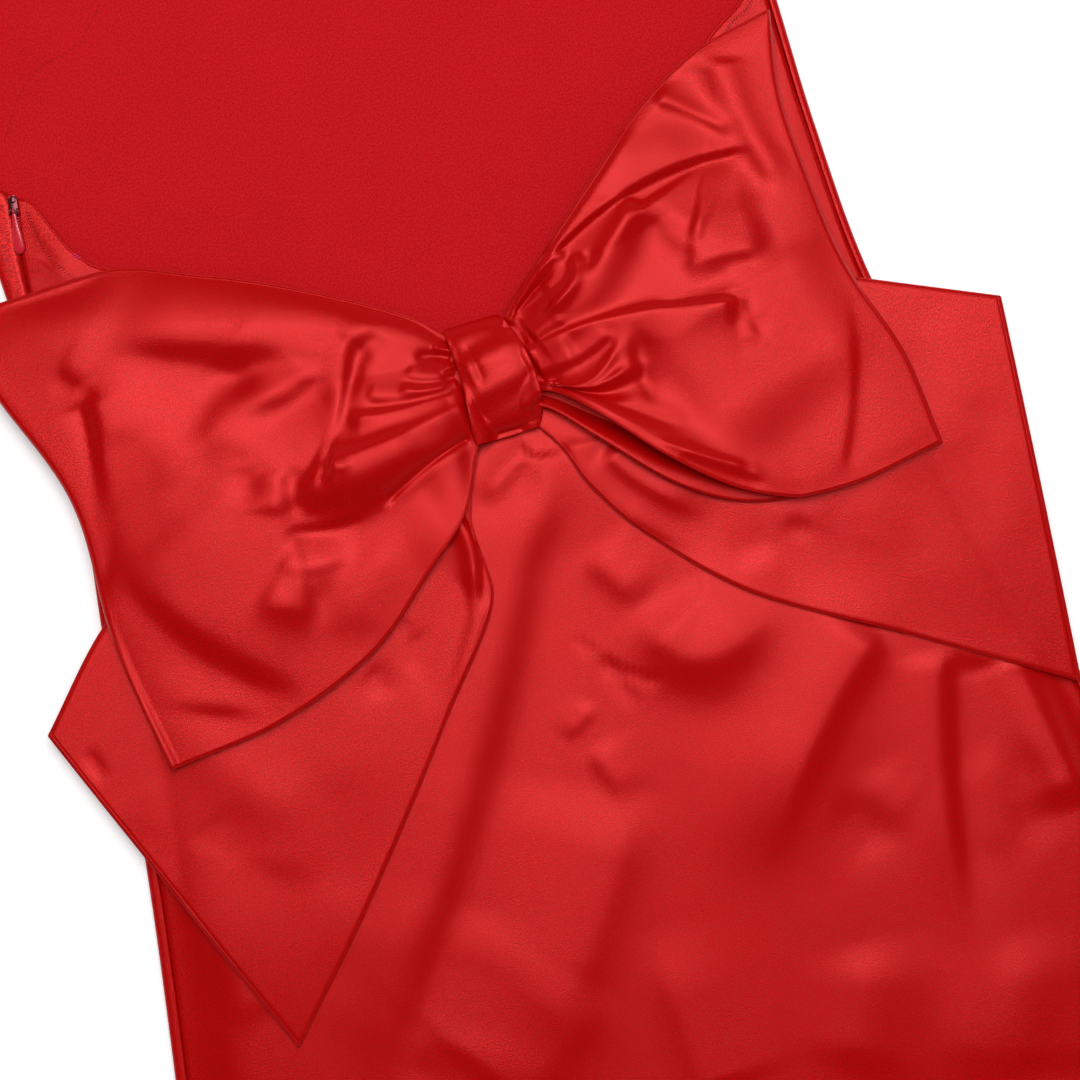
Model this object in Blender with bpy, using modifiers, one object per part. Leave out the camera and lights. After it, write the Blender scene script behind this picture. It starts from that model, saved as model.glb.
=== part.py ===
"""A halter maxi dress in satin, laid flat on a surface with its back and its big bow facing up.

Metres, +Z up. The tables are in millimetres, measured from the waist point: x to the right of the
bow's knot, y towards the neck, z up from the surface. The whole dress hangs on one empty, which
brings the middle of its outline to the world's origin.
"""

import math

import bmesh
import bpy
import numpy as np
from mathutils import Matrix, Vector
from mathutils.bvhtree import BVHTree

MM = 0.001

# ---------------------------------------------------------------- driving dimensions, millimetres
CLOTH = 1.5            # wall of every panel
SEAM_GAP = 0.3         # between pieces that are sewn edge to edge
REST_GAP = 0.7         # least air between a piece and what it is laid on
SIDE_ROLL = 1.9        # radius of the soft roll at the dress's sides
HEM_Y = -1060.0        # floor hem, below the waist
NECK_Y = 345.0         # top edge of the front
SEAM_TOP_Y = 143.0     # top of both side seams, where the open back begins
STRAP_RISE = 100.0     # how far the neck strap arches above the front
STRAP_WIDTH = 22.0
CENTRE_X = -11.0       # the bodice's centre line: the knot sits a little to its right
FRONT_Z = CLOTH / 2
BACK_Z = FRONT_Z + 2 * SIDE_ROLL

# Finishes: colour, roughness, metallic.
SATIN = ((0.61, 0.028, 0.030, 1.0), 0.38, 0.0)
CREPE_INSIDE = ((0.56, 0.012, 0.018, 1.0), 0.8, 0.0)
ZIP_RED = ((0.62, 0.03, 0.06, 1.0), 0.35, 0.0)
SLIDER_METAL = ((0.62, 0.30, 0.32, 1.0), 0.3, 0.8)

# The dress's outline: name, y, left edge x, right edge x.
BODY_ROWS = (
    ("hem", HEM_Y, -352.0, 350.0),
    ("calf", -800.0, -319.0, 317.0),
    ("knee", -530.0, -280.0, 276.0),
    ("thigh", -260.0, -231.0, 227.0),
    ("hip", -156.0, -214.5, 206.0),
    ("high_hip", -60.0, -204.0, 188.0),
    ("waist", 0.0, -197.0, 176.5),
    ("ribs", 70.0, -200.0, 173.0),
    ("underarm", 150.0, -202.0, 172.5),
    ("bust", 190.0, -198.0, 169.0),
    ("armhole_low", 232.0, -182.0, 156.0),
    ("armhole_mid", 272.0, -152.0, 128.0),
    ("armhole_high", 310.0, -118.0, 96.0),
    ("neck", NECK_Y, -89.0, 67.0),
)

# How far the front wraps round each side on to the upper face: name, y, left, right.
WRAP_ROWS = (
    ("hem", HEM_Y, 3.0, 3.0),
    ("thigh", -260.0, 3.0, 2.0),
    ("high_hip", -60.0, 2.0, 1.2),
    ("waist", 0.0, 2.2, 1.2),
    ("ribs", 70.0, 6.0, 1.2),
    ("chest", 114.0, 9.8, 1.2),
    ("zip_top", SEAM_TOP_Y, 14.6, 1.2),
    ("armhole_turn", 156.0, 1.5, 1.0),
    ("bust", 190.0, 1.0, 1.0),
    ("neck", NECK_Y, 1.0, 1.0),
)
ROLL_ENDS_Y = (158.0, 182.0)   # the side roll opens out flat between these heights

# The open back's edge, from the left side seam to the right one: name, x, y.
BACK_EDGE = (
    ("zip_top", -184.0, SEAM_TOP_Y),
    ("wing_tip", -177.0, 138.0),
    ("wing_dip", -168.0, 115.5),
    ("wing_foot", -158.0, 102.5),
    ("left_high", -113.0, 76.0),
    ("left_mid", -71.0, 54.0),
    ("left_low", -30.0, 28.0),
    ("knot", 0.0, 19.0),
    ("right_low", 30.0, 31.0),
    ("right_mid", 73.0, 64.0),
    ("right_high", 110.0, 93.0),
    ("right_foot", 140.0, 121.0),
    ("right_dip", 156.0, 131.0),
    ("seam_top", 169.0, SEAM_TOP_Y),
)

# Folds, lines along which the cloth rises or, below zero, sinks: name, start x, y, bend x, y, end x, y,
# height, half width on the line's left and on its right as one goes from start to end.
SKIRT_FOLDS = (
    ("under_knot_ridge", 8, -40, 10, -85, 40, -112, 2.5, 10, 10),
    ("under_knot_trough", -16, -70, -30, -140, -98, -225, -5.0, 14, 10),
    ("trough_on_down", -90, -215, -128, -300, -150, -400, -3.5, 16, 16),
    ("middle_blob", 36, -127, 58, -160, 94, -136, -4.0, 12, 12),
    ("middle_ridge", 98, -172, 50, -196, 22, -236, 3.5, 13, 11),
    ("right_trough_a", 140, -166, 92, -205, 36, -268, -5.5, 10, 12),
    ("trough_a_on_down", 36, -268, 4, -320, -20, -420, -3.5, 16, 16),
    ("right_trough_b", 166, -180, 155, -225, 128, -300, -4.5, 12, 11),
    ("right_trough_c", 200, -205, 202, -260, 190, -340, -4.0, 10, 12),
    ("right_ridge_bc", 186, -205, 182, -260, 158, -330, 2.5, 10, 10),
    ("left_long", -130, -400, -180, -640, -215, -930, 3.5, 26, 30),
    ("left_long_trough", -80, -420, -100, -640, -130, -1000, -2.6, 26, 34),
    ("centre_long", -10, -430, -20, -660, -40, -960, 3.5, 26, 34),
    ("centre_long_trough", 60, -400, 70, -680, 60, -1010, -2.6, 28, 34),
    ("right_long", 110, -390, 130, -640, 150, -980, 3.5, 26, 34),
    ("right_long_trough", 180, -400, 215, -660, 240, -1000, -2.6, 24, 30),
)
LEFT_LOOP_FOLDS = (
    ("top_roll", -40, 32, -104, 72, -182, 78, 3.5, 12, 14),
    ("trough_under_roll", -64, 40, -104, 54, -146, 56, -3.5, 9, 9),
    ("upper_curl", -60, 36, -118, 34, -150, 4, 3.5, 12, 9),
    ("knot_trough_high", -24, 4, -52, 8, -78, -4, -3.5, 8, 8),
    ("knot_ridge", -18, -8, -56, -12, -80, -16, 5.0, 10, 8),
    ("knot_trough_low", -22, -23, -60, -26, -106, -14, -5.0, 9, 10),
    ("pit", -92, -58, -112, -80, -132, -58, -4.0, 10, 10),
    ("lower_lobe", -24, -32, -62, -58, -112, -98, 4.0, 12, 13),
    ("outer_trough", -192, -34, -172, -62, -130, -110, -3.0, 9, 9),
)
RIGHT_LOOP_FOLDS = (
    ("pleat_edge", 22, 32, 62, 62, 138, 70, 4.5, 15, 7),
    ("knot_trough_high", 34, 14, 78, 26, 84, 54, -4.0, 9, 9),
    ("middle_trough", 92, 44, 102, 22, 140, 22, -3.5, 9, 9),
    ("outer_trough", 108, 96, 138, 76, 150, 42, -3.0, 8, 8),
    ("knot_ridge", 24, 0, 74, 6, 114, -4, 4.5, 9, 14),
    ("lower_diagonal", 68, 4, 84, -24, 98, -74, -4.5, 10, 12),
    ("petal_trough", 22, -16, 42, -20, 60, -14, -3.0, 7, 8),
)
TAIL_FOLDS = (
    ("left_inner_trough", -26, -50, -38, -88, -62, -124, -1.6, 8, 9),
    ("left_middle_ridge", -70, -80, -110, -130, -160, -190, 1.8, 16, 16),
    ("right_knot_trough", 34, -34, 42, -56, 58, -86, -1.6, 7, 9),
    ("right_middle_ridge", 70, -60, 120, -90, 190, -120, 1.8, 16, 16),
)
SKIRT_PUFF = 6.5        # how far the back stands up, away from its side seams
SEAM_CALM = 34.0        # width over which the back rises from a side seam
EDGE_CALM = (0.35, 0.08)    # share of the rise left at the open edge, and share of the length it grows over
LEAST_RISE = -0.8
TAIL_PUFF = 1.8
TAIL_PUFF_FROM = 0.3    # share of the way out at which a tail has its full puff
FOLD_FADES = (0.25, 0.3)    # shares of a fold's line over which it fades in and out
FOLD_STEPS = 16

# Bow loops, a row for each section from the knot out to the fold:
# name, upper edge x, y, lower edge x, y, puff.
LEFT_LOOP = (
    ("in_knot", -9, 18, -9, -17, 3.4),
    ("at_knot", -18, 27, -19, -32, 4.6),
    ("neck", -33, 41, -31, -55, 7.5),
    ("inner", -72, 64, -54, -75, 9.0),
    ("middle", -113, 83, -87, -101, 9.0),
    ("outer", -160, 98, -135, -119, 8.0),
    ("fold", -224, 97, -186, -125, 4.4),
)
RIGHT_LOOP = (
    ("in_knot", 9, 18, 9, -15, 3.4),
    ("at_knot", 18, 31, 21, -21, 4.6),
    ("neck", 40, 49, 39, -41, 9.0),
    ("inner", 73, 76, 66, -70, 10.5),
    ("middle", 100, 98, 96, -87, 9.0),
    ("outer", 131, 114, 137, -92, 7.0),
    ("fold", 166, 122, 181, -86, 4.4),
)
# How far the fold's middle draws in towards the knot: depth, share of the height, spread.
LEFT_FOLD_DIP = (20.0, 0.6, 0.2)
RIGHT_FOLD_DIP = (12.0, 0.68, 0.33)
MOUTH_LIFT = 4.5        # how far the right loop's upper layer stands off its lower edge
MOUTH_SETBACK = 8.0
MOUTH_SPAN = (0.75, 0.3)    # shares of the loop's length and height that the open mouth takes
EDGE_PUFF = (0.4, 0.12)     # share of a loop's puff left at its long edges, and the share it grows over
TURN_CALM = 0.14            # share of a loop's length by its turned end that the folds stay out of

# Bow tails, a row for each section from the knot to the cut end: name, upper x, y, lower x, y.
LEFT_TAIL = (
    ("in_knot", -6, 8, -6, -16),
    ("at_knot", -26, 2, -17, -30),
    ("turn", -62, -2, -29, -64),
    ("twist", -100, -10, -30, -86),
    ("middle", -150, -25, -66, -140),
    ("outer", -199, -54, -121, -207),
    ("end", -239, -95, -172, -262),
)
RIGHT_TAIL = (
    ("in_knot", 6, 9, 6, -16),
    ("at_knot", 24, 14, 20, -37),
    ("turn", 56, 22, 28, -59),
    ("inner", 92, 24, 46, -87),
    ("middle", 128, 15, 84, -126),
    ("outer", 176, -7, 145, -164),
    ("end", 229, -31, 213, -207),
)

# The knot's band, a row for each section from its top end to its lower end:
# name, y, left x, right x, rise above the surface of the cloth that it lies on.
KNOT_ROWS = (
    ("tucked_top", 28.0, -14.0, 9.0, 2.0),
    ("top", 26.5, -15.0, 10.5, 8.0),
    ("shoulder", 19.0, -15.5, 14.5, 13.5),
    ("crown", 4.0, -14.5, 18.0, 16.5),
    ("belly", -11.0, -15.0, 18.5, 15.5),
    ("heel", -22.0, -16.0, 16.5, 10.5),
    ("tucked_heel", -27.0, -16.5, 13.0, 2.5),
)
KNOT_CROWN = 1.2
# How far round a point a piece looks for the cloth that it must clear.
TAIL_REACH = 17.0
LOOP_REACH = 19.0
KNOT_REACH = 6.0

# Side zip, laid along the left seam.
ZIP_TOP_Y = 141.0
ZIP_FOOT_Y = -195.0
ZIP_TAPE = (22.0, 0.6)          # width, thickness
ZIP_COIL = (3.6, 0.8)
SLIDER_Y = 138.5
SLIDER_TURN = math.radians(-9.0)    # the slider and its tab line up with the seam
SLIDER = (4.6, 9.0, 1.5)        # width, length, height of the body
LUG = (0.8, 2.6, 1.0)           # the ears that hold the tab's pin: width, length, height above the pin
LUG_SPREAD = 1.7                # from the slider's middle to the middle of an ear
PIN_RADIUS = 0.4
PIN_RISE = 1.4                  # above the slider's body
PIN_DROP = 2.6                  # from the slider's middle towards its foot
TAB_LENGTH = 19.0
TAB_RADII = (1.1, 2.4)          # at the eye and at the tab's foot
TAB_THICK = 0.9
EYE_RADIUS = 1.15
EYE_BORE = 0.7
EYE_WIDTH = 2.0
TAB_NECK = (1.6, 2.3, 0.72)     # width, length and thickness of the web between the tab and its eye
TAB_NECK_DROP = 2.0
TAB_TILT = math.radians(8.0)    # the tab leans down on to the cloth

# ---------------------------------------------------------------- small tools
def smooth_line(xs, ys):
    """A function that runs smoothly through the points (xs, ys), straight-ended, without overshoot."""
    xs, ys = np.asarray(xs, float), np.asarray(ys, float)
    steps = np.diff(ys) / np.diff(xs)
    slopes = np.concatenate([steps[:1], (steps[1:] + steps[:-1]) / 2, steps[-1:]])
    turns = np.concatenate([[False], steps[1:] * steps[:-1] <= 0, [False]])
    slopes[turns] = 0.0

    def at(x):
        i = int(np.clip(np.searchsorted(xs, x) - 1, 0, len(xs) - 2))
        width = xs[i + 1] - xs[i]
        t = min(max((x - xs[i]) / width, 0.0), 1.0)
        a, b = 2 * t**3 - 3 * t**2 + 1, t**3 - 2 * t**2 + t
        c = t**3 - t**2
        return a * ys[i] + b * width * slopes[i] + (1 - a) * ys[i + 1] + c * width * slopes[i + 1]

    return at


def column(table, index):
    return [row[index] for row in table]


def ease(t):
    """0 to 1 with soft ends."""
    t = min(max(t, 0.0), 1.0)
    return t * t * (3 - 2 * t)


def fold_height(folds, x, y):
    """How far the folds lift the cloth at a point."""
    lift = 0.0
    fade_in, fade_out = FOLD_FADES
    for _, x0, y0, x1, y1, x2, y2, height, left, right in folds:
        best = None
        for step in range(FOLD_STEPS + 1):
            t = step / FOLD_STEPS
            px = (1 - t) ** 2 * x0 + 2 * t * (1 - t) * x1 + t * t * x2
            py = (1 - t) ** 2 * y0 + 2 * t * (1 - t) * y1 + t * t * y2
            away = math.hypot(x - px, y - py)
            if best is None or away < best[0]:
                tx = (1 - t) * (x1 - x0) + t * (x2 - x1)
                ty = (1 - t) * (y1 - y0) + t * (y2 - y1)
                best = (away, t, tx * (y - py) - ty * (x - px))
        away, t, side = best
        ends = ease(t / fade_in + fade_in) * ease((1 - t) / fade_out)
        lift += height * ends * math.exp(-((away / (left if side > 0 else right)) ** 2))
    return lift


def material(name, colour, roughness, metallic):
    made = bpy.data.materials.new(name)
    made.use_nodes = True
    shader = made.node_tree.nodes["Principled BSDF"]
    shader.inputs["Base Color"].default_value = colour
    shader.inputs["Roughness"].default_value = roughness
    shader.inputs["Metallic"].default_value = metallic
    made.diffuse_color = colour
    return made


def add_object(name, mesh, finish, smooth=True):
    piece = bpy.data.objects.new(name, mesh)
    mesh.materials.append(finish)
    if smooth:
        mesh.shade_smooth()
    PARTS.objects.link(piece)
    piece.parent = FRAME
    return piece


def panel(name, finish, columns, rows, place, wall=CLOTH):
    """A piece of cloth: a grid whose points place(u, v) puts down in millimetres, given a wall by Solidify.
    columns and rows hold the u and the v of the grid's lines."""
    mesh = bpy.data.meshes.new(name)
    grid = bmesh.new()
    bmesh.ops.create_grid(grid, x_segments=len(columns) - 1, y_segments=len(rows) - 1, size=0.5)
    for vert in grid.verts:
        u = columns[round((vert.co.x + 0.5) * (len(columns) - 1))]
        v = rows[round((vert.co.y + 0.5) * (len(rows) - 1))]
        vert.co = Vector(place(u, v)) * MM
    grid.to_mesh(mesh)
    grid.free()
    piece = add_object(name, mesh, finish)
    solidify = piece.modifiers.new("wall", "SOLIDIFY")
    solidify.thickness = wall * MM
    solidify.offset = 0.0
    return piece


def even(count):
    return [i / count for i in range(count + 1)]


class Laid:
    """The pieces laid down so far, for the next one to lie on."""

    RINGS = (0.5, 1.0)
    SPOKES = 8
    DROP_FROM = 200.0

    def __init__(self, *pieces):
        bpy.context.view_layer.update()
        graph = bpy.context.evaluated_depsgraph_get()
        self.trees = [BVHTree.FromObject(piece, graph) for piece in pieces]

    def top(self, x, y, reach, floor=0.0):
        """The highest cloth within reach of a point, in millimetres."""
        best = floor
        spots = [(0.0, 0.0)]
        for ring in self.RINGS:
            for turn in range(self.SPOKES):
                angle = turn * 2 * math.pi / self.SPOKES
                spots.append((ring * reach * math.cos(angle), ring * reach * math.sin(angle)))
        for dx, dy in spots:
            start = Vector((x + dx, y + dy, self.DROP_FROM)) * MM
            for tree in self.trees:
                hit = tree.ray_cast(start, Vector((0, 0, -1)))[0]
                if hit is not None:
                    best = max(best, hit.z / MM)
        return best


# ---------------------------------------------------------------- the dress's outline
edge_left = smooth_line(column(BODY_ROWS, 1), column(BODY_ROWS, 2))
edge_right = smooth_line(column(BODY_ROWS, 1), column(BODY_ROWS, 3))
wrap_left = smooth_line(column(WRAP_ROWS, 1), column(WRAP_ROWS, 2))
wrap_right = smooth_line(column(WRAP_ROWS, 1), column(WRAP_ROWS, 3))
back_edge = smooth_line(column(BACK_EDGE, 1), column(BACK_EDGE, 2))


def side_at(y, side):
    """The dress's edge and how far the front wraps over it, at a height: side is -1 for the left."""
    if side < 0:
        return edge_left(y), wrap_left(y)
    return edge_right(y), wrap_right(y)


def seam_x(y, side):
    """Where the side seam lies at a height."""
    edge, wrap = side_at(y, side)
    return edge - side * (SIDE_ROLL + CLOTH / 2 + wrap)


# ---------------------------------------------------------------- front
FLAT_COLUMNS = 3
ROLL_COLUMNS = 3
# Shares of the way from the hem to the side seams' top.
SKIRT_ROWS = (
    0, 0.09, 0.18, 0.27, 0.36, 0.45, 0.53, 0.60, 0.65, 0.69, 0.725,
    0.755, 0.785, 0.815, 0.845, 0.872, 0.897, 0.92, 0.942, 0.962, 0.98, 1.0,
)
BODICE_YS = (152, 160, 168, 176, 184, 205, 232, 252, 272, 291, 310, 328, NECK_Y)


def front_side(y, along, side):
    """A point of the front's side: along is 0 at the centre line, 1 where the roll starts, 2 where it
    ends and 3 at the side seam."""
    edge, wrap = side_at(y, side)
    edge -= side * CLOTH / 2
    bend = math.pi * (1 - ease((y - ROLL_ENDS_Y[0]) / (ROLL_ENDS_Y[1] - ROLL_ENDS_Y[0])))
    flat = edge - side * (SIDE_ROLL + (1 - bend / math.pi) * (SIDE_ROLL * (math.pi - 1) + wrap))
    if along <= 1:
        return CENTRE_X + (flat - CENTRE_X) * along, y, FRONT_Z
    arc = SIDE_ROLL * math.pi * min(along - 1, 1)
    past = max(along - 2, 0) * wrap
    if bend < 0.01:
        return flat + side * (arc + past), y, FRONT_Z
    radius = SIDE_ROLL * math.pi / bend
    out = radius * math.sin(arc / radius) + past * math.cos(bend)
    up = radius * (1 - math.cos(arc / radius)) + past * math.sin(bend)
    return flat + side * out, y, FRONT_Z + up


def build_front(finish):
    side = [i / FLAT_COLUMNS for i in range(1, FLAT_COLUMNS + 1)]
    side += [1 + i / ROLL_COLUMNS for i in range(1, ROLL_COLUMNS + 1)] + [3]
    columns = [-s for s in reversed(side)] + [0] + side
    rows = [HEM_Y + share * (SEAM_TOP_Y - HEM_Y) for share in SKIRT_ROWS] + list(BODICE_YS)

    def place(u, y):
        return front_side(y, abs(u), -1 if u < 0 else 1)

    return panel("front_panel", finish, columns, rows, place)


# ---------------------------------------------------------------- back
BACK_COLUMNS = 27
WING_COLUMNS = (0.018, 0.056, 0.944, 0.982)     # more lines near the seams, where the open edge bends
EDGE_SHARE = 0.9                # above this share of the length the lines bend to meet the open edge


def build_back(finish):
    left_top, right_top = BACK_EDGE[0], BACK_EDGE[-1]
    edge_share, edge_span = EDGE_CALM

    def across(u, y):
        left, right = seam_x(y, -1) + SEAM_GAP, seam_x(y, 1) - SEAM_GAP
        return left, right, left + u * (right - left)

    def place(u, v):
        edge_x = left_top[1] + SEAM_GAP + u * (right_top[1] - left_top[1] - 2 * SEAM_GAP)
        top_y = back_edge(edge_x)
        y = HEM_Y + v * (top_y - HEM_Y)
        left, right, x = across(u, y)
        x += (edge_x - across(u, top_y)[2]) * ease((v - EDGE_SHARE) / (1 - EDGE_SHARE))
        calm = ease((x - left) / SEAM_CALM) * ease((right - x) / SEAM_CALM)
        calm *= edge_share + (1 - edge_share) * ease((1 - v) / edge_span)
        return x, y, BACK_Z + max(calm * (SKIRT_PUFF + fold_height(SKIRT_FOLDS, x, y)), LEAST_RISE)

    columns = sorted(even(BACK_COLUMNS) + list(WING_COLUMNS))
    return panel("back_panel", finish, columns, SKIRT_ROWS, place)


# ---------------------------------------------------------------- neck strap
STRAP_COLUMNS = 24
STRAP_ROWS = 2


def build_neck_strap(finish):
    """The halter band: an arch that lies flat, from one end of the front's top edge to the other."""
    outer = (edge_right(NECK_Y) - edge_left(NECK_Y)) / 2
    middle = (edge_right(NECK_Y) + edge_left(NECK_Y)) / 2
    inner = outer - STRAP_WIDTH

    def place(u, v):
        angle = math.pi * u
        half = inner + v * (outer - inner)
        rise = STRAP_RISE - (1 - v) * STRAP_WIDTH
        return (middle - half * math.cos(angle), NECK_Y + SEAM_GAP + rise * math.sin(angle), FRONT_Z)

    return panel("neck_strap", finish, even(STRAP_COLUMNS), even(STRAP_ROWS), place)


# ---------------------------------------------------------------- bow
LOOP_COLUMNS = 11
TURN_COLUMNS = 4
LOOP_ROWS = 14
TAIL_COLUMNS = 14
TAIL_ROWS = 9
KNOT_COLUMNS = 6
KNOT_LINES = 18


def section_of(table, share):
    """The upper edge point, the lower edge point and what else a row holds, at a share of the way out."""
    at = share * (len(table) - 1)
    stops = range(len(table))
    values = [smooth_line(stops, column(table, i))(at) for i in range(1, len(table[0]))]
    return values


def tail_place(table, laid):
    def place(u, v):
        upper_x, upper_y, lower_x, lower_y = section_of(table, u)
        x = lower_x + v * (upper_x - lower_x)
        y = lower_y + v * (upper_y - lower_y)
        base = max(laid.top(x, y, TAIL_REACH), BACK_Z + CLOTH / 2)
        puff = TAIL_PUFF * 4 * v * (1 - v) * min(u / TAIL_PUFF_FROM, 1)
        return x, y, base + REST_GAP + CLOTH / 2 + max(puff + fold_height(TAIL_FOLDS, x, y), 0)

    return place


def build_tail(name, table, laid, finish):
    side = -1 if table[-1][1] < 0 else 1
    place = tail_place(table, laid)

    def facing_up(u, v):
        return place(u, v if side > 0 else 1 - v)

    return panel(name, finish, even(TAIL_COLUMNS), even(TAIL_ROWS), facing_up)


def build_loop(name, table, dip, folds, laid, mouth, finish):
    """A loop of the bow: the lower layer runs out from the knot, turns over and comes back on top."""
    side = -1 if table[-1][1] < 0 else 1
    turn_radius = table[-1][-1] / 2
    out = even(LOOP_COLUMNS)
    turn = [1 + i / TURN_COLUMNS for i in range(1, TURN_COLUMNS)]
    depth, centre, spread = dip
    mouth_length, mouth_height = MOUTH_SPAN
    edge_share, edge_span = EDGE_PUFF

    def lower(share, v):
        upper_x, upper_y, lower_x, lower_y, puff = section_of(table, share)
        drawn = depth * share**3 * math.exp(-(((v - centre) / spread) ** 2))
        x = lower_x + v * (upper_x - lower_x) - side * drawn
        y = lower_y + v * (upper_y - lower_y)
        base = max(laid.top(x, y, LOOP_REACH), BACK_Z + CLOTH / 2)
        return x, y, base + REST_GAP + CLOTH / 2, puff

    def place(u, v):
        v = v if side > 0 else 1 - v
        if u <= 1:
            return lower(u, v)[:3]
        if u < 2:
            x, y, z, _ = lower(1, v)
            angle = math.pi * (u - 1)
            return x + side * turn_radius * math.sin(angle), y, z + turn_radius * (1 - math.cos(angle))
        share = 3 - u
        x, y, z, puff = lower(share, v)
        open_edge = mouth * math.sin(math.pi * min(share / mouth_length, 1)) * (1 - ease(v / mouth_height))
        shape = puff * (edge_share + (1 - edge_share) * ease(v / edge_span) * ease((1 - v) / edge_span))
        lift = shape + fold_height(folds, x, y) * ease((1 - share) / TURN_CALM)
        return x, y + MOUTH_SETBACK * open_edge, z + max(lift, CLOTH + 2 * REST_GAP) + MOUTH_LIFT * open_edge

    return panel(name, finish, out + turn + [2 + share for share in out], even(LOOP_ROWS), place)


def build_knot(laid, finish):
    """The band round the bow's middle: it comes up from the back's edge, over the gathers and down again."""
    def place(u, v):
        at = v * (len(KNOT_ROWS) - 1)
        y, left, right, rise = [
            smooth_line(range(len(KNOT_ROWS)), column(KNOT_ROWS, i))(at) for i in range(1, 5)
        ]
        x = left + u * (right - left)
        crown = KNOT_CROWN * math.sin(math.pi * u)
        under = laid.top(x, y, KNOT_REACH) + REST_GAP + CLOTH / 2
        return x, y, max(BACK_Z + CLOTH / 2 + REST_GAP + rise, under) + crown

    return panel("bow_knot", finish, even(KNOT_COLUMNS), [1 - v for v in even(KNOT_LINES)], place)


# ---------------------------------------------------------------- side zip
ROD_SIDES = 16
PLATE_SIDES = 32
STRIP_COLUMNS = 2
STRIP_ROWS = 14
STRIP_TOP_SHARE = 0.92          # above this share of its length a strip has finer rows
STRIP_TOP_ROWS = 8
WING_EDGE = BACK_EDGE[:5]
WING_INSET = 1.2                # a strip stays this far inside the wing's edge


def block(size, centre):
    """A box, as a bmesh in metres."""
    made = bmesh.new()
    bmesh.ops.create_cube(made, size=MM)
    for vert in made.verts:
        vert.co = Vector(vert.co[i] * size[i] + centre[i] * MM for i in range(3))
    return made


def rod(radius, length, axis, centre=(0, 0, 0), sides=ROD_SIDES):
    """A cylinder, as a bmesh in metres: axis is "X" or "Z"."""
    made = bmesh.new()
    bmesh.ops.create_cone(
        made, cap_ends=True, segments=sides, radius1=radius * MM, radius2=radius * MM, depth=length * MM
    )
    if axis == "X":
        bmesh.ops.rotate(made, verts=made.verts, matrix=Matrix.Rotation(math.pi / 2, 3, "Y"))
    bmesh.ops.translate(made, verts=made.verts, vec=Vector(centre) * MM)
    return made


def combine(name, finish, first, steps):
    """One body out of several: steps holds pairs, UNION or DIFFERENCE and the body to use."""
    def temporary(body):
        mesh = bpy.data.meshes.new(name)
        body.to_mesh(mesh)
        body.free()
        made = bpy.data.objects.new(name + "_tool", mesh)
        PARTS.objects.link(made)
        return made

    base = temporary(first)
    tools = [temporary(body) for _, body in steps]
    for (operation, _), tool in zip(steps, tools):
        cut = base.modifiers.new(operation, "BOOLEAN")
        cut.operation = operation
        cut.solver = "EXACT"
        cut.object = tool
    bpy.context.view_layer.update()
    result = bpy.data.meshes.new_from_object(base.evaluated_get(bpy.context.evaluated_depsgraph_get()))
    for made in [base] + tools:
        bpy.data.objects.remove(made)
    result.name = name
    result.materials.clear()
    return add_object(name, result, finish, smooth=False)


def slider_point():
    """The middle of the slider's body."""
    return Vector((seam_x(SLIDER_Y, -1), SLIDER_Y, BACK_Z + CLOTH / 2 + REST_GAP + SLIDER[2] / 2))


def build_slider(finish):
    pin_z = SLIDER[2] / 2 + PIN_RISE
    ear_top = pin_z + LUG[2]
    steps = []
    for side in (-1, 1):
        ear = block((LUG[0], LUG[1], ear_top), (side * LUG_SPREAD, -PIN_DROP, ear_top / 2))
        steps.append(("UNION", ear))
    steps.append(("UNION", rod(PIN_RADIUS, 2 * LUG_SPREAD, "X", (0, -PIN_DROP, pin_z))))
    slider = combine("zip_slider", finish, block(SLIDER, (0, 0, 0)), steps)
    slider.location = slider_point() * MM
    slider.rotation_euler.z = SLIDER_TURN


def build_pull(finish):
    """The tab, with its origin on the pin that it swings about."""
    plate = rod(1.0, TAB_THICK, "Z", sides=PLATE_SIDES)
    foot_y = -(TAB_LENGTH - TAB_RADII[1] - EYE_RADIUS)
    for vert in plate.verts:
        at_eye = vert.co.y > 0
        radius, middle = (TAB_RADII[0], -TAB_RADII[0]) if at_eye else (TAB_RADII[1], foot_y)
        vert.co.x *= radius
        vert.co.y = vert.co.y * radius + middle * MM
    steps = [
        ("UNION", block(TAB_NECK, (0, -TAB_NECK_DROP, 0))),
        ("UNION", rod(EYE_RADIUS, EYE_WIDTH, "X")),
        ("DIFFERENCE", rod(EYE_BORE, EYE_WIDTH * 2, "X")),
    ]
    pull = combine("zip_pull", finish, plate, steps)
    pin = Vector((0, -PIN_DROP, SLIDER[2] / 2 + PIN_RISE))
    pin.rotate(Matrix.Rotation(SLIDER_TURN, 3, "Z"))
    pull.location = (slider_point() + pin) * MM
    pull.rotation_euler = (TAB_TILT, 0, SLIDER_TURN)


def zip_strip(name, width, thick, z, finish):
    """A strip that follows the left side seam between the dress's two layers, cut along the wing's edge."""
    wing_x = smooth_line([-y for y in column(WING_EDGE, 2)], column(WING_EDGE, 1))

    def place(u, v):
        y = ZIP_FOOT_Y + v * (ZIP_TOP_Y - ZIP_FOOT_Y)
        seam = seam_x(y, -1)
        left = seam - min(width / 2, wrap_left(y))
        right = min(seam + width / 2, max(wing_x(-y) - WING_INSET, seam + ZIP_COIL[0] / 2))
        return left + u * (right - left), y, z

    rows = [row * STRIP_TOP_SHARE for row in even(STRIP_ROWS)[:-1]]
    rows += [STRIP_TOP_SHARE + row * (1 - STRIP_TOP_SHARE) for row in even(STRIP_TOP_ROWS)]
    return panel(name, finish, even(STRIP_COLUMNS), rows, place, wall=thick)


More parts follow.
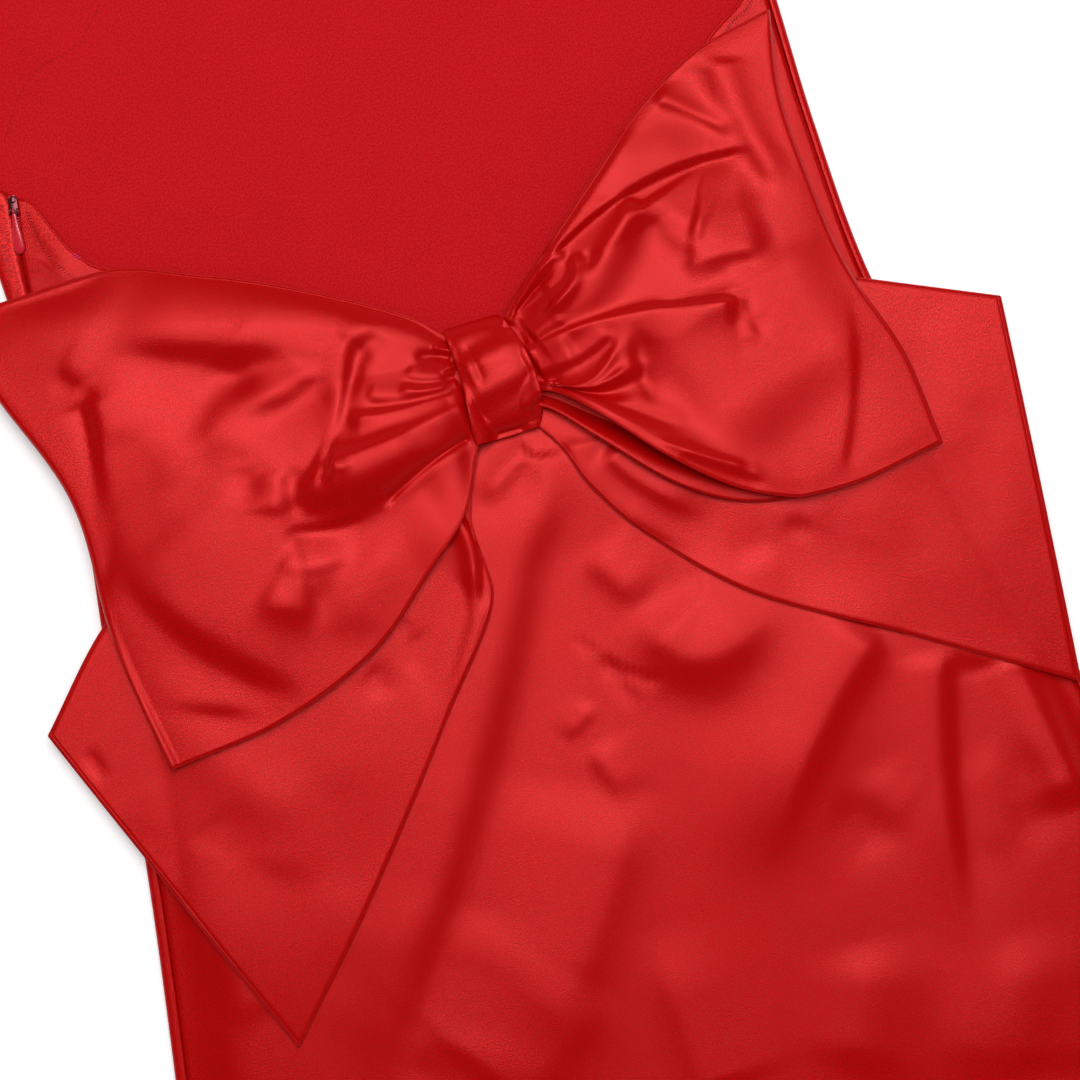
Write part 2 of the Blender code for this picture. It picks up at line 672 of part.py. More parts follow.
def build():
    satin = material("satin", *SATIN)
    inside = material("crepe_inside", *CREPE_INSIDE)
    zip_red = material("zip_red", *ZIP_RED)
    metal = material("slider_metal", *SLIDER_METAL)

    front = build_front(inside)
    back = build_back(satin)
    build_neck_strap(satin)
    coil_z = CLOTH + SEAM_GAP + ZIP_COIL[1] / 2
    tape_z = coil_z + ZIP_COIL[1] / 2 + SEAM_GAP + ZIP_TAPE[1] / 2
    zip_strip("zip_tape", ZIP_TAPE[0], ZIP_TAPE[1], tape_z, zip_red)
    zip_strip("zip_chain", ZIP_COIL[0], ZIP_COIL[1], coil_z, zip_red)

    under = Laid(front, back)
    left_tail = build_tail("bow_tail_left", LEFT_TAIL, under, satin)
    right_tail = build_tail("bow_tail_right", RIGHT_TAIL, under, satin)
    under = Laid(front, back, left_tail, right_tail)
    left_loop = build_loop(
        "bow_loop_left", LEFT_LOOP, LEFT_FOLD_DIP, LEFT_LOOP_FOLDS, under, 0.0, satin)
    right_loop = build_loop(
        "bow_loop_right", RIGHT_LOOP, RIGHT_FOLD_DIP, RIGHT_LOOP_FOLDS, under, 1.0, satin)
    build_knot(Laid(back, left_tail, right_tail, left_loop, right_loop), satin)
    build_slider(metal)
    build_pull(zip_red)


for old in list(bpy.data.objects):
    bpy.data.objects.remove(old)

PARTS = bpy.data.collections.new("halter_maxi_dress")
bpy.context.scene.collection.children.link(PARTS)
FRAME = bpy.data.objects.new("dress_frame", None)
PARTS.objects.link(FRAME)

build()
HEM = BODY_ROWS[0]
FRAME.location = Vector((-(HEM[2] + HEM[3]) / 2, -(HEM_Y + NECK_Y + STRAP_RISE) / 2, 0)) * MM
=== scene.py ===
"""The looks of a red satin halter maxi dress, laid flat with its back and its bow facing up.

Cloth is laid piece by piece, as a maker would lay it: the front on the floor, the back over it, then
the bow's tails, its two loops and the knot. Each piece takes the height of the heap that it is laid
on, and adds its own folds from a short table. Tables are in millimetres in the dress's own frame: x
and y from the bow's knot, z up from the floor.
"""

import math

import bmesh
import bpy
import numpy as np
from mathutils import Matrix, Vector


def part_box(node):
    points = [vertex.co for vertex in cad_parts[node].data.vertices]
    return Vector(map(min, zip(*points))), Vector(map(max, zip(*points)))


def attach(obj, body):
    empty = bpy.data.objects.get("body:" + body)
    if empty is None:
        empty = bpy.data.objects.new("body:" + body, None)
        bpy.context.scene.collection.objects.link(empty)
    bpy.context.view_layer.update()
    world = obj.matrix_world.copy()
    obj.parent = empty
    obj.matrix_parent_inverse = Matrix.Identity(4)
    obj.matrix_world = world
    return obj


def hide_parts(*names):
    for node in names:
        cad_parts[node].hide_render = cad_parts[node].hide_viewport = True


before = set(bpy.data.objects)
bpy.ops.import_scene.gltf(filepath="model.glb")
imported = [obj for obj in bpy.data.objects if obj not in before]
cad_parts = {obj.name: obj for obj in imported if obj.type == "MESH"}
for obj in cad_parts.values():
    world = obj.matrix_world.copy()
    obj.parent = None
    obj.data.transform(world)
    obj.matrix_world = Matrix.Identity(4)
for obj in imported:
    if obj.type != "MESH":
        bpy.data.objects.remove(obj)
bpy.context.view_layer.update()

MM = 0.001
SCENE = bpy.context.scene


def rows(text):
    """A table from lines of text, each a name and its numbers."""
    return [(line.split()[0], *map(float, line.split()[1:])) for line in text.strip().splitlines()]


# ---- sizes, millimetres
HEM_Y = -1060.0
NECK_Y = 345.0
STRAP_RISE = 100.0
STRAP_WIDTH = 22.0
SIDE_ROLL = 1.9
WALL = 1.1              # cloth of the dress
BOW_WALL = 1.0
FRONT_Z = 0.75          # middle of the front's wall
BACK_Z = FRONT_Z + 2 * SIDE_ROLL
HEM_EDGE_X = (-352.0, 350.0)

front_low, front_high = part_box("front_panel")
WAIST = Vector((
    (front_low[0] + front_high[0]) / 2 - sum(HEM_EDGE_X) / 2 * MM,
    front_low[1] - HEM_Y * MM,
    front_low[2],
))

# The dress's outline: name, y, left edge x, right edge x.
BODY_ROWS = rows("""
hem -1060 -352 350
calf -800 -319 317
knee -530 -280 276
thigh -260 -231 227
hip -156 -214.5 206
high_hip -60 -204 188
waist 0 -197 176.5
ribs 70 -200 173
underarm 150 -202 172.5
bust 190 -198 169
armhole_low 232 -182 156
armhole_mid 272 -152 128
armhole_high 310 -118 96
neck 345 -89 67
""")
# How far the front wraps round each side on to the upper face: name, y, left, right.
WRAP_ROWS = rows("""
hem -1060 3 3
thigh -260 3 2
high_hip -60 2 1.2
waist 0 2.2 1.2
ribs 70 6 1.2
chest 114 9.8 1.2
zip_top 143 14.6 1.2
armhole_turn 156 1.5 1
bust 190 1 1
neck 345 1 1
""")
ROLL_ENDS_Y = (158.0, 182.0)

# The open back's edge, from the left side seam to the right one: name, x, y.
BACK_EDGE = rows("""
zip_top -184.6 143
wing_tip -177 138
wing_neck -173.5 129
wing_dip -168 115.5
wing_foot -160.5 104.5
wing_heel -150.5 98
left_high -113 76
left_mid -71 54
left_low -30 28
knot 0 19
right_low 30 31
right_mid 73 64
right_high 110 93
right_foot 140 121
right_dip 156 131
seam_top 168.6 143
""")

# Bow loops, a row for each section from the knot out to the fold:
# name, upper edge x, y, lower edge x, y, puff.
LEFT_LOOP = rows("""
in_knot -9 18 -9 -17 3.4
at_knot -18 27 -19 -32 4.6
neck -33 41 -31 -55 7.5
inner -72 64 -54 -75 9.0
middle -113 83 -87 -101 9.0
outer -160 98 -135 -119 8.6
fold -224 97 -186 -125 6.6
""")
RIGHT_LOOP = rows("""
in_knot 9 18 9 -15 3.4
at_knot 18 31 21 -21 4.6
neck 40 49 39 -41 9.0
inner 73 76 66 -70 10.5
middle 100 98 96 -87 9.0
outer 131 114 137 -92 7.6
fold 166 122 181 -86 6.0
""")
# How a loop's fold is drawn in: depth, middle and spread as shares of its height, and how flat-bottomed.
LEFT_FOLD_DIP = (13.0, 0.58, 0.22, 2)
RIGHT_FOLD_DIP = (12.8, 0.62, 0.33, 4)
# Share of a loop's puff left at its lower and its upper edge, and the shares of its height it grows over.
LEFT_EDGES = (0.66, 0.4, 0.28, 0.15)
RIGHT_EDGES = (0.95, 0.05, 0.8, 0.05)
MOUTH_LIFT = 4.5
MOUTH_SETBACK = 14.0
MOUTH_LIP = 5.0

# Bow tails, a row for each section from the knot to the cut end: name, upper x, y, lower x, y.
LEFT_TAIL = rows("""
in_knot -6 8 -6 -16
at_knot -26 2 -17 -30
turn -62 -2 -29 -62
twist -100 -10 -28 -88
middle -150 -25 -66 -141
outer -199 -54 -121 -207
end -239 -95 -172 -262
""")
RIGHT_TAIL = rows("""
in_knot 6 9 6 -16
at_knot 24 14 20 -37
turn 56 22 28 -59
inner 92 24 46 -87
middle 128 15 84 -126
outer 176 -7 145 -164
end 229 -31 213 -207
""")

# Slopes, lines at which the cloth steps from a high side to a low one: name, start x, y, bend x, y, end x,
# y, drop from the line's left to its right going from start to end, half width, the reach of the raised
# and lowered cloth on the left and on the right, and the shares of the line over which it fades in and out.
#
# Folds, lines along which the cloth rises or, below zero, sinks: name, start, bend and end as above,
# height, half width on the line's left and on its right, crispness from 1, soft, down to 0, and fades.
SKIRT_SLOPES = rows("""
left_face 7 -43 -2 -99.5 -144.5 -300 -4.2 8 40 30 0.25 0.2
left_face_low -89 -208.5 -117 -244.5 -140 -301 -3 13 36 28 0.4 0.4
swag_low 26 -140 45 -169.5 75 -164.5 1.2 11 16 24 0.35 0.35
a_side 97.5 -216.5 106.5 -238 119 -253.5 2.6 9 18 18 0.4 0.4
a_broad 124 -189 94.5 -227 78.5 -269 -1.6 16 24 30 0.35 0.35
b_face 161 -176 143 -221 131 -313.5 -4 4.8 30 18 0.1 0.4
east_soft 171.5 -217.5 167.5 -249.5 163.5 -281 -2.4 8 18 18 0.35 0.35
left_low -197 -185 -195.5 -209 -199.5 -250 2.6 8 20 16 0.25 0.2
""")
SKIRT_FOLDS = rows("""
knot_shade 6 -33.5 -6.5 -39.5 -23 -53.5 2.2 6 8 0.9 0.1 0.35
knot_ridge 12.5 -37.5 11 -53 -10 -91.5 1.8 10 8 1 0.1 0.4
long_face 5 -193 -12 -230.5 -69 -299.5 2.6 12 40 1 0.35 0.3
smudge -33.5 -275 -49 -289 -91 -316 1.8 11 40 1 0.45 0.1
patch_high 17 -85.5 24 -99.5 37.5 -117.5 1.6 14 6 0.9 0.35 0.35
swag 32 -114 44.5 -171.5 95.5 -127.5 4 28 12 0.9 0.25 0.3
thin_crease 8 -132 15 -144.5 33.5 -152.5 -0.9 1.4 2.2 0.4 0.2 0.1
thin_crease_high 0 -121 3 -125.5 9 -133 -0.5 1.2 2 0.4 0.3 0.2
tick_face -0.5 -153 -5.5 -158.5 -18.5 -165 0.9 2.6 7 0.6 0.3 0.35
streak -6.5 -169.5 -3.5 -182 3 -203 1.1 12 4 0.8 0.35 0.4
fan 6.5 -135 15 -142 18.5 -164 -0.7 2.4 3 0.7 0.3 0.3
a_face 134 -156 85 -192 43 -256.5 4 10 26 0.9 0.12 0.45
spot_two 84.5 -290 84 -313 61 -348.5 2 22 12 1 0.4 0.2
low_east 149.5 -305 149 -335.5 138.5 -372 1.8 22 10 1 0.4 0.2
low_west -79 -221 -93.5 -249.5 -122.5 -292.5 1.6 24 10 1 0.4 0.2
b_foot 97.5 -343.5 121 -343 144 -370 1.8 36 14 1 0.45 0.45
c_face 195 -187 196.5 -208.5 197 -263 3.2 8 16 0.8 0.1 0.15
low_fold -2.5 -256.5 -2.5 -294.5 -1 -339 1.6 20 8 1 0.45 0.1
strip_one 166 97.5 162 63 168 26 1.6 2.6 2.6 0.8 0.2 0.2
strip_two 171.5 96 167 57.5 172.5 12.5 1.3 2.2 2.2 0.8 0.2 0.2
wing_band -178 136 -178 119.5 -167.5 101.5 1.5 6 4.5 0.7 0.15 0.2
wing_pucker -189 115 -182 115 -176.5 111.5 1.5 4 2.4 0.6 0.2 0.3
wing_fold -188 109 -179 109.5 -170 102 1.8 3 3.2 0.5 0.2 0.2
far_fold_west -55 -418.5 -80 -673 -124.5 -1026.5 3.2 28 10 0.9 0.25 0.06
far_fold_mid 35 -409 42 -675 80 -1031.5 2.8 12 30 0.9 0.25 0.06
far_fold_east 124.5 -438.5 167 -741.5 239.5 -1028.5 3.4 10 26 0.9 0.25 0.06
far_fold_side -139.5 -468.5 -191.5 -768.5 -274 -1024.5 2.8 26 9 0.9 0.25 0.06
far_fold_hem -10 -638 -13.5 -859 -22 -1032.5 2.2 24 10 0.9 0.3 0.08
far_fold_low 94.5 -757.5 125.5 -880 164.5 -1030.5 2 9 22 0.9 0.3 0.08
""")
LEFT_LOOP_SLOPES = rows("""
corner_face -209 92.5 -177.5 88 -146 82 -3.4 13 30 24 0.1 0.4
top_roll_face -165 66 -124 49.5 -68.5 31 4.2 6 26 30 0.35 0.35
curl_shade -118 48.5 -113.5 39 -99 33.5 2.2 6 14 14 0.35 0.35
curl_face -77 37 -132.5 29.5 -140 0 2.8 6 20 18 0.35 0.4
curl_tail -130.5 16 -138.5 -3 -164 -7 -1.6 5 16 16 0.4 0.4
curl_back -69.5 27.5 -88.5 15 -117.5 18.5 -4 5 22 10 0.3 0.4
upright_face -55.5 37 -63 16 -79 -10 -2.3 1.8 8 12 0.2 0.35
knot_triangle -60 31 -52 35 -39 36 2.4 4 9 9 0.35 0.35
triangle_side -45 34 -56 21.5 -66.5 4.5 1.8 3 10 8 0.35 0.35
gather_leaf -38.5 12.5 -28.5 5.5 -15.5 7 2.2 1.7 7 3.5 0.1 0.05
gather_leaf_low -58 7 -44 0.5 -18.5 1 3 3 8 5 0.1 0.1
pool_face -105 -20 -85 -47 -26.5 -21.5 12 12 16 18 0.25 0.2
pool_west -100.5 -8.5 -103.5 -22 -106.5 -34 -3 4 8 14 0.3 0.3
crease_line -109.5 -35.5 -94.5 -44.5 -68 -40 2 2.2 5 7 0.25 0.25
lobe_face -57.5 -44 -91 -69 -110 -89 2.2 6 22 26 0.35 0.4
outer_face -190.5 -26 -170 -76 -119 -112.5 3.4 4.2 40 34 0.2 0.25
corner_fold -191.5 -94.5 -175.5 -100 -136.5 -117 1.6 2.6 14 12 0.12 0.4
side_crease -179.5 46 -176.5 18 -195 -30 3.6 1.6 8 9 0.1 0.1
side_patch -175.5 54 -174 38 -179.5 16.5 2.8 4.4 16 5 0.35 0.35
side_patch_high -186.5 60.5 -181 56 -178 48.5 2.2 4 12 8 0.2 0.3
low_left -155.5 5 -158.5 -11 -150.5 -58 0.9 14 30 30 0.35 0.35
""")
LEFT_LOOP_FOLDS = rows("""
gather_ridge -41 8.5 -34.5 2 -15.5 3.5 1.5 2.2 4 0.4 0.15 0.05
gather_ridge_low -68 1.5 -49 -2.5 -13 -2 2 3.2 7 0.4 0.15 0.05
knot_gather_high -33 19 -22.5 19.5 -16.5 14 -1.6 2.4 3 0.8 0.3 0.05
knot_gather_top -23 22.5 -19 19 -13 17 1.6 2 2 0.6 0.3 0.05
knot_gather_low -22.5 10 -18 11 -14.5 10.5 1.2 1.6 1.6 0.6 0.3 0.05
big_ridge -80.5 -13 -73.5 -18.5 -13.5 -8 4.2 6.5 16 0.5 0.1 0.05
ridge_lip -80.5 -13 -80 -19.5 -70.5 -18 1.2 2.6 4 0.5 0.1 0.3
lobe_crease -17 -22 -39 -26.5 -64 -40 -2.4 2.4 3 0.3 0.08 0.1
shade_face -117 -47.5 -107.5 -62 -80 -55 1.6 9 5 0.8 0.35 0.35
shade_ridge -116 -55.5 -105.5 -72 -88 -59.5 0.8 6 6 0.9 0.35 0.35
pit -130 -59.5 -119 -73.5 -101.5 -73 2.2 14 8 0.9 0.35 0.35
soft_spot -118 -4 -119 -13.5 -120.5 -25 -1.2 7 7 1 0.4 0.4
""")
RIGHT_LOOP_SLOPES = rows("""
pleat_face 37.5 42.5 87 73 141.5 65 3 1.1 16 8 0.08 0.14
pleat_shade 76.5 87 91 81 118.5 85.5 -1.2 6 20 20 0.3 0.3
hairpin_shade 53.5 43.5 58 30 31.5 19 -2.8 2.4 6 4 0.15 0.1
long_face 90.5 56.5 62.5 13.5 32 12.5 -5.5 9 22 20 0.12 0.1
patch_east 109.5 32 125.5 46 143.5 48 1.2 6 14 14 0.35 0.4
spot 109 18.5 118.5 16.5 129 12 -1.3 3.6 8 8 0.4 0.4
tick 117.5 9 115.5 1.5 117 -9 -1.2 1.8 5 7 0.35 0.35
tick_low 116 -5 117.5 -13.5 119 -20 -1.2 2 5 7 0.4 0.4
leaf_face 19 -5 38.5 -6.5 57 3 3.6 3.8 5 5 0.04 0.1
hollow 19 9.5 28 12 41.5 15 2.2 2.4 5 5 0.05 0.3
leaf_low_face 23 -14 45.5 -25 69.5 -13 4.6 3.8 7 8 0.08 0.2
big_face 70.5 5.5 82 -32.5 93.5 -76 6 12 100 30 0.2 0.35
big_west 66.5 6.5 58.5 -16 65 -37 -3 4 8 10 0.3 0.35
big_foot 40.5 -30.5 61.5 -32 76.5 -52 2.4 5 10 10 0.2 0.3
foot_face 68.5 -67.5 84 -76 105.5 -83 2.2 3 6 6 0.1 0.2
outer_face 133 111.5 127.5 93.5 148.5 39.5 5.4 6.6 14 26 0.2 0.15
crease_right 163.5 27 169 -30 135 -89 -1.1 1.2 12 12 0.2 0.1
""")
RIGHT_LOOP_FOLDS = rows("""
hairpin 13 21.5 38.5 49.5 48 42.5 2.1 2.6 3 0.5 0.03 0.2
hairpin_back 48 42.5 55 32 30 20.5 1.9 2.5 2.5 0.5 0.2 0.05
hairpin_line 17.5 25 29.5 33.5 41 39 -1.3 1.5 1.7 0.5 0.05 0.3
long_ridge 21 14 57 27.5 84.5 58.5 2.6 6 8 0.5 0.02 0.06
wedge_face 88 57.5 92.5 41.5 105.5 28.5 2.6 18 7 0.9 0.15 0.25
wedge_east 98.5 32.5 113 24 140 24.5 2.8 22 8 1 0.2 0.3
middle_ridge 94 21.5 105.5 25 138.5 18.5 1 3 6 0.8 0.3 0.3
knot_ridge 17 6 49.5 16.5 115 1 3.4 3.2 15 0.35 0.02 0.06
ridge_end 76.5 11 101 6.5 117 2.5 -1.2 1.6 1.6 0.4 0.2 0.06
petal_edge 20 -12.5 44.5 -21.5 58.5 0.5 1.9 2.2 2.4 0.35 0.04 0.2
petal_edge_low 19 -15.5 43 -20.5 60 -12.5 1.9 2 2.4 0.35 0.04 0.2
foot_ridge 61.5 -60 73.5 -67 96.5 -75.5 1.1 3 3 0.5 0.2 0.1
outer_pleat 104.5 99.5 118.5 90.5 135.5 73 1.6 7 2.6 0.6 0.15 0.2
""")
LEFT_TAIL_SLOPES = rows("""
turned_face -39 -45 -17 -63 -40.5 -101 -9 3 8 8 0.1 0.3
inner_face -25 -66 -39.5 -102.5 -70.5 -139 3.4 5 8 18 0.25 0.3
wave_one -198 -118.5 -184.5 -137 -203.5 -164 -1 10 20 20 0.3 0.3
wave_two -167.5 -142 -157 -162 -175 -182 1.2 12 22 22 0.3 0.3
wave_three -133.5 -138.5 -129.5 -182 -149.5 -199.5 -1.2 12 22 22 0.3 0.3
""")
LEFT_TAIL_FOLDS = rows("""
thin_crease -73 -90 -71 -96.5 -69 -106.5 -0.6 1.5 2.4 0.4 0.1 0.25
soft_patch -74.5 -114 -64.5 -109.5 -60.5 -99.5 -1.5 4 4.5 0.9 0.25 0.3
soft_patch_low -93 -107.5 -87.5 -115 -88 -124 -0.9 6 6 1 0.3 0.3
corner_tick -224.5 -106 -222.5 -114 -221 -122 -1 3 2.2 0.5 0.25 0.25
wave_four -177.5 -97 -176.5 -139.5 -130.5 -158.5 0.9 14 14 1 0.3 0.3
""")
RIGHT_TAIL_SLOPES = rows("""
knot_face 21.5 -31.5 12.5 -71 68 -104 4.4 4.4 15 5 0.12 0.35
spot 100 -109 115 -89 119 -116 1.6 4.4 10 10 0.35 0.35
soft_low 76.5 -113 89.5 -111 101.5 -110.5 -1.3 5 12 14 0.3 0.3
wave_one 154 -90 162.5 -116 145.5 -134.5 -1 12 20 20 0.3 0.3
wave_two 203.5 -81.5 206.5 -106 194 -144.5 1.1 10 20 20 0.3 0.3
corner_soft 183.5 -33 200 -52 189.5 -82 1.2 10 20 20 0.3 0.3
""")
RIGHT_TAIL_FOLDS = rows("""
knot_face_east 38.5 -43.5 47 -65.5 78 -87.5 2.4 14 6 0.8 0.15 0.35
""")
KNOT_SLOPES = rows("""
top_face -12.5 11 1 14 24.5 19.5 -3.2 5 10 9 0.02 0.02
low_face -12.5 -10.5 5 -6.5 29 -1 3.6 6 9 9 0.02 0.02
""")
KNOT_FOLDS = rows("""
left_crescent -9 19.5 -5 8 -5.5 -3.5 -0.9 3 1.6 0.6 0.2 0.25
""")
FRONT_SLOPES = rows("""
shoulder_wave -139.5 211.5 -165.5 203 -177 181 -1.6 7 20 16 0.2 0.3
dart_wave -113.5 203.5 -141.5 181.5 -175.5 171 1.4 9 24 24 0.25 0.25
side_wave -181.5 163.5 -183 149.5 -184.5 136 -1.2 4 10 8 0.2 0.3
bust_wave 42.5 160.5 62 100.5 105 118 0.8 16 40 40 0.3 0.3
""")
SKIRT_PUFF = 6.5
SIDE_TURN = 24.0        # the back rises from its seams over this width
SIDE_CALM = 34.0        # and its folds are weaker this near to them
BOW_FLOAT = BACK_Z + 5.6    # the stiff bow holds this height past the dress's sides
TAIL_PUFF = 1.6

# The knot's band, a row for each section from its top end to its lower end:
# name, y, left x, right x, rise above the back.
KNOT_ROWS = rows("""
tucked_top 28.0 -14.0 8.0 1.5
top 27.2 -15.2 10.4 7.0
shoulder 20.0 -15.2 14.0 12.5
crown 5.0 -14.4 18.0 15.5
belly -11.0 -15.2 18.6 14.5
heel -22.0 -16.4 16.0 10.0
tucked_heel -26.6 -16.4 13.0 2.0
""")

# ---- curves and folds
def smooth_line(xs, ys):
    """A function that runs smoothly through the points (xs, ys), without overshoot."""
    xs, ys = np.asarray(xs, float), np.asarray(ys, float)
    steps = np.diff(ys) / np.diff(xs)
    slopes = np.concatenate([steps[:1], (steps[1:] + steps[:-1]) / 2, steps[-1:]])
    turns = np.concatenate([[False], steps[1:] * steps[:-1] <= 0, [False]])
    slopes[turns] = 0.0

    def at(x):
        x = np.asarray(x, float)
        i = np.clip(np.searchsorted(xs, x) - 1, 0, len(xs) - 2)
        width = xs[i + 1] - xs[i]
        t = np.clip((x - xs[i]) / width, 0.0, 1.0)
        a, b = 2 * t**3 - 3 * t**2 + 1, t**3 - 2 * t**2 + t
        out = a * ys[i] + b * width * slopes[i]
        return out + (1 - a) * ys[i + 1] + (t**3 - t**2) * width * slopes[i + 1]

    return at


def column(table, index):
    return [row[index] for row in table]


def ease(t):
    t = np.clip(t, 0.0, 1.0)
    return t * t * (3 - 2 * t)


def near_line(row, x, y, reach):
    """The points near a row's line, how far along it they lie from 0 to 1, and how far to its left."""
    t = np.linspace(0, 1, 61)
    px = (1 - t) ** 2 * row[1] + 2 * t * (1 - t) * row[3] + t * t * row[5]
    py = (1 - t) ** 2 * row[2] + 2 * t * (1 - t) * row[4] + t * t * row[6]
    near = (x > px.min() - reach) & (x < px.max() + reach) & (y > py.min() - reach) & (y < py.max() + reach)
    xs, ys = x[near], y[near]
    i = ((xs[:, None] - px) ** 2 + (ys[:, None] - py) ** 2).argmin(1)
    tx, ty = np.gradient(px), np.gradient(py)
    step = np.hypot(tx, ty)
    tx, ty = tx / step, ty / step
    dx, dy = xs - px[i], ys - py[i]
    along, side = dx * tx[i] + dy * ty[i], tx[i] * dy - ty[i] * dx
    past = np.maximum(np.abs(along) - step[i] / 2, 0)
    place = np.clip(t[i] + along / step[i] / 60, 0, 1)
    return near, place, side, past


def relief(slopes, folds, x, y):
    """How far the slopes and folds of a piece lift its cloth at each point."""
    x, y = np.broadcast_arrays(x, y)
    lift = np.zeros(x.shape)
    for row in slopes:
        drop, width, left, right, fade_in, fade_out = row[7:]
        near, place, side, past = near_line(row, x, y, 2.2 * max(left, right))
        fade = ease(place / fade_in) * ease((1 - place) / fade_out)
        far = np.where(side > 0, left, right) * (0.4 + 0.6 * fade)
        lift[near] += drop / 2 * fade * np.tanh(side / width) * np.exp(-((side / far) ** 2))
    for row in folds:
        height, left, right, crisp, fade_in, fade_out = row[7:]
        near, place, side, past = near_line(row, x, y, 3.5 * max(left, right))
        q = np.hypot(side, past) / np.where(side > 0, left, right)
        fade = ease(place / fade_in) * ease((1 - place) / fade_out)
        lift[near] += height * fade * np.exp(-2 * (np.sqrt(q * q + crisp * crisp) - crisp))
    return lift


def ripple(x, y, size, seed):
    """A gentle unevenness between -1 and 1, from a few slanted waves."""
    rng = np.random.default_rng(seed)
    out = np.zeros(np.shape(x))
    for _ in range(6):
        angle, phase = rng.uniform(0, math.pi), rng.uniform(0, 2 * math.pi)
        wave = size * rng.uniform(0.7, 1.6)
        out += np.sin((x * math.cos(angle) + y * math.sin(angle)) * 2 * math.pi / wave + phase)
    return out / 6


edge_left = smooth_line(column(BODY_ROWS, 1), column(BODY_ROWS, 2))
edge_right = smooth_line(column(BODY_ROWS, 1), column(BODY_ROWS, 3))
wrap_left = smooth_line(column(WRAP_ROWS, 1), column(WRAP_ROWS, 2))
wrap_right = smooth_line(column(WRAP_ROWS, 1), column(WRAP_ROWS, 3))
back_edge = smooth_line(column(BACK_EDGE, 1), column(BACK_EDGE, 2))


def side_at(y, side):
    if side < 0:
        return edge_left(y), wrap_left(y)
    return edge_right(y), wrap_right(y)


def seam_x(y, side):
    edge, wrap = side_at(y, side)
    return edge - side * (SIDE_ROLL + WALL / 2 + wrap)


# ---- the heap of laid cloth
class Heap:
    """How high the cloth laid so far stands, on a grid over the dress."""

    CELL = 1.6
    X_LOW, X_HIGH = -380.0, 380.0
    Y_LOW, Y_HIGH = -1090.0, 470.0

    def __init__(self):
        across = int((self.X_HIGH - self.X_LOW) / self.CELL) + 1
        up = int((self.Y_HIGH - self.Y_LOW) / self.CELL) + 1
        self.top = np.zeros((up, across))

    def lay(self, points):
        ix = np.round((points[..., 0] - self.X_LOW) / self.CELL).astype(int)
        iy = np.round((points[..., 1] - self.Y_LOW) / self.CELL).astype(int)
        np.maximum.at(self.top, (iy, ix), points[..., 2])

    def cover(self, reach, soften):
        """The height at which a sheet lies on the heap: over its highest points, and soft between them."""
        steps = int(round(reach / self.CELL))
        wide = self.top.copy()
        for dy in range(-steps, steps + 1):
            for dx in range(-steps, steps + 1):
                if dx * dx + dy * dy <= steps * steps + 1:
                    np.maximum(wide, np.roll(self.top, (dy, dx), (0, 1)), out=wide)
        reach_cells = int(math.ceil(2.5 * soften / self.CELL))
        weights = np.exp(-0.5 * (np.arange(-reach_cells, reach_cells + 1) * self.CELL / soften) ** 2)
        weights /= weights.sum()
        for axis in (0, 1):
            wide = sum(w * np.roll(wide, k - reach_cells, axis) for k, w in enumerate(weights))

        def at(x, y):
            fx = np.clip((x - self.X_LOW) / self.CELL, 0, wide.shape[1] - 1.001)
            fy = np.clip((y - self.Y_LOW) / self.CELL, 0, wide.shape[0] - 1.001)
            ix, iy = fx.astype(int), fy.astype(int)
            ax, ay = fx - ix, fy - iy
            low = wide[iy, ix] * (1 - ax) + wide[iy, ix + 1] * ax
            high = wide[iy + 1, ix] * (1 - ax) + wide[iy + 1, ix + 1] * ax
            return low * (1 - ay) + high * ay

        return at


# ---- node trees
def fill(tree, made, inputs):
    """Give a node's inputs, by name or place, their values or other nodes' outputs."""
    for slot, value in inputs.items():
        if isinstance(value, bpy.types.NodeSocket):
            tree.links.new(value, made.inputs[slot])
        else:
            made.inputs[slot].default_value = value


def node(tree, kind, inputs=(), **settings):
    """The outputs of a new node with these settings and inputs."""
    made = tree.nodes.new(kind)
    for name, value in settings.items():
        setattr(made, name, value)
    fill(tree, made, dict(inputs))
    return made.outputs


def node_group(name, kind, sockets):
    """A node group with its sockets, each a way, a kind, a name and for some a value."""
    tree = bpy.data.node_groups.new(name, kind)
    for way, sort, label, *value in sockets:
        socket = tree.interface.new_socket(name=label, in_out=way, socket_type="NodeSocket" + sort)
        if value:
            socket.default_value = value[0]
    return tree, tree.nodes.new("NodeGroupInput").outputs


def maths(tree, operation, first, second):
    return node(tree, "ShaderNodeMath", {0: first, 1: second}, operation=operation)["Value"]


def mixed(tree, factor, first, second):
    return node(tree, "ShaderNodeMixShader", {"Fac": factor, 1: first, 2: second})["Shader"]


def material(name):
    """A new material, its node tree and its shader node."""
    made = bpy.data.materials.new(name)
    made.use_nodes = True
    return made, made.node_tree, made.node_tree.nodes["Principled BSDF"]


# ---- cloth, thread and metal
CLOUD_SCALE = 26.0
GRAIN_SPREAD = (0.3, 0.7)
BUMP_DEPTH = 0.0006


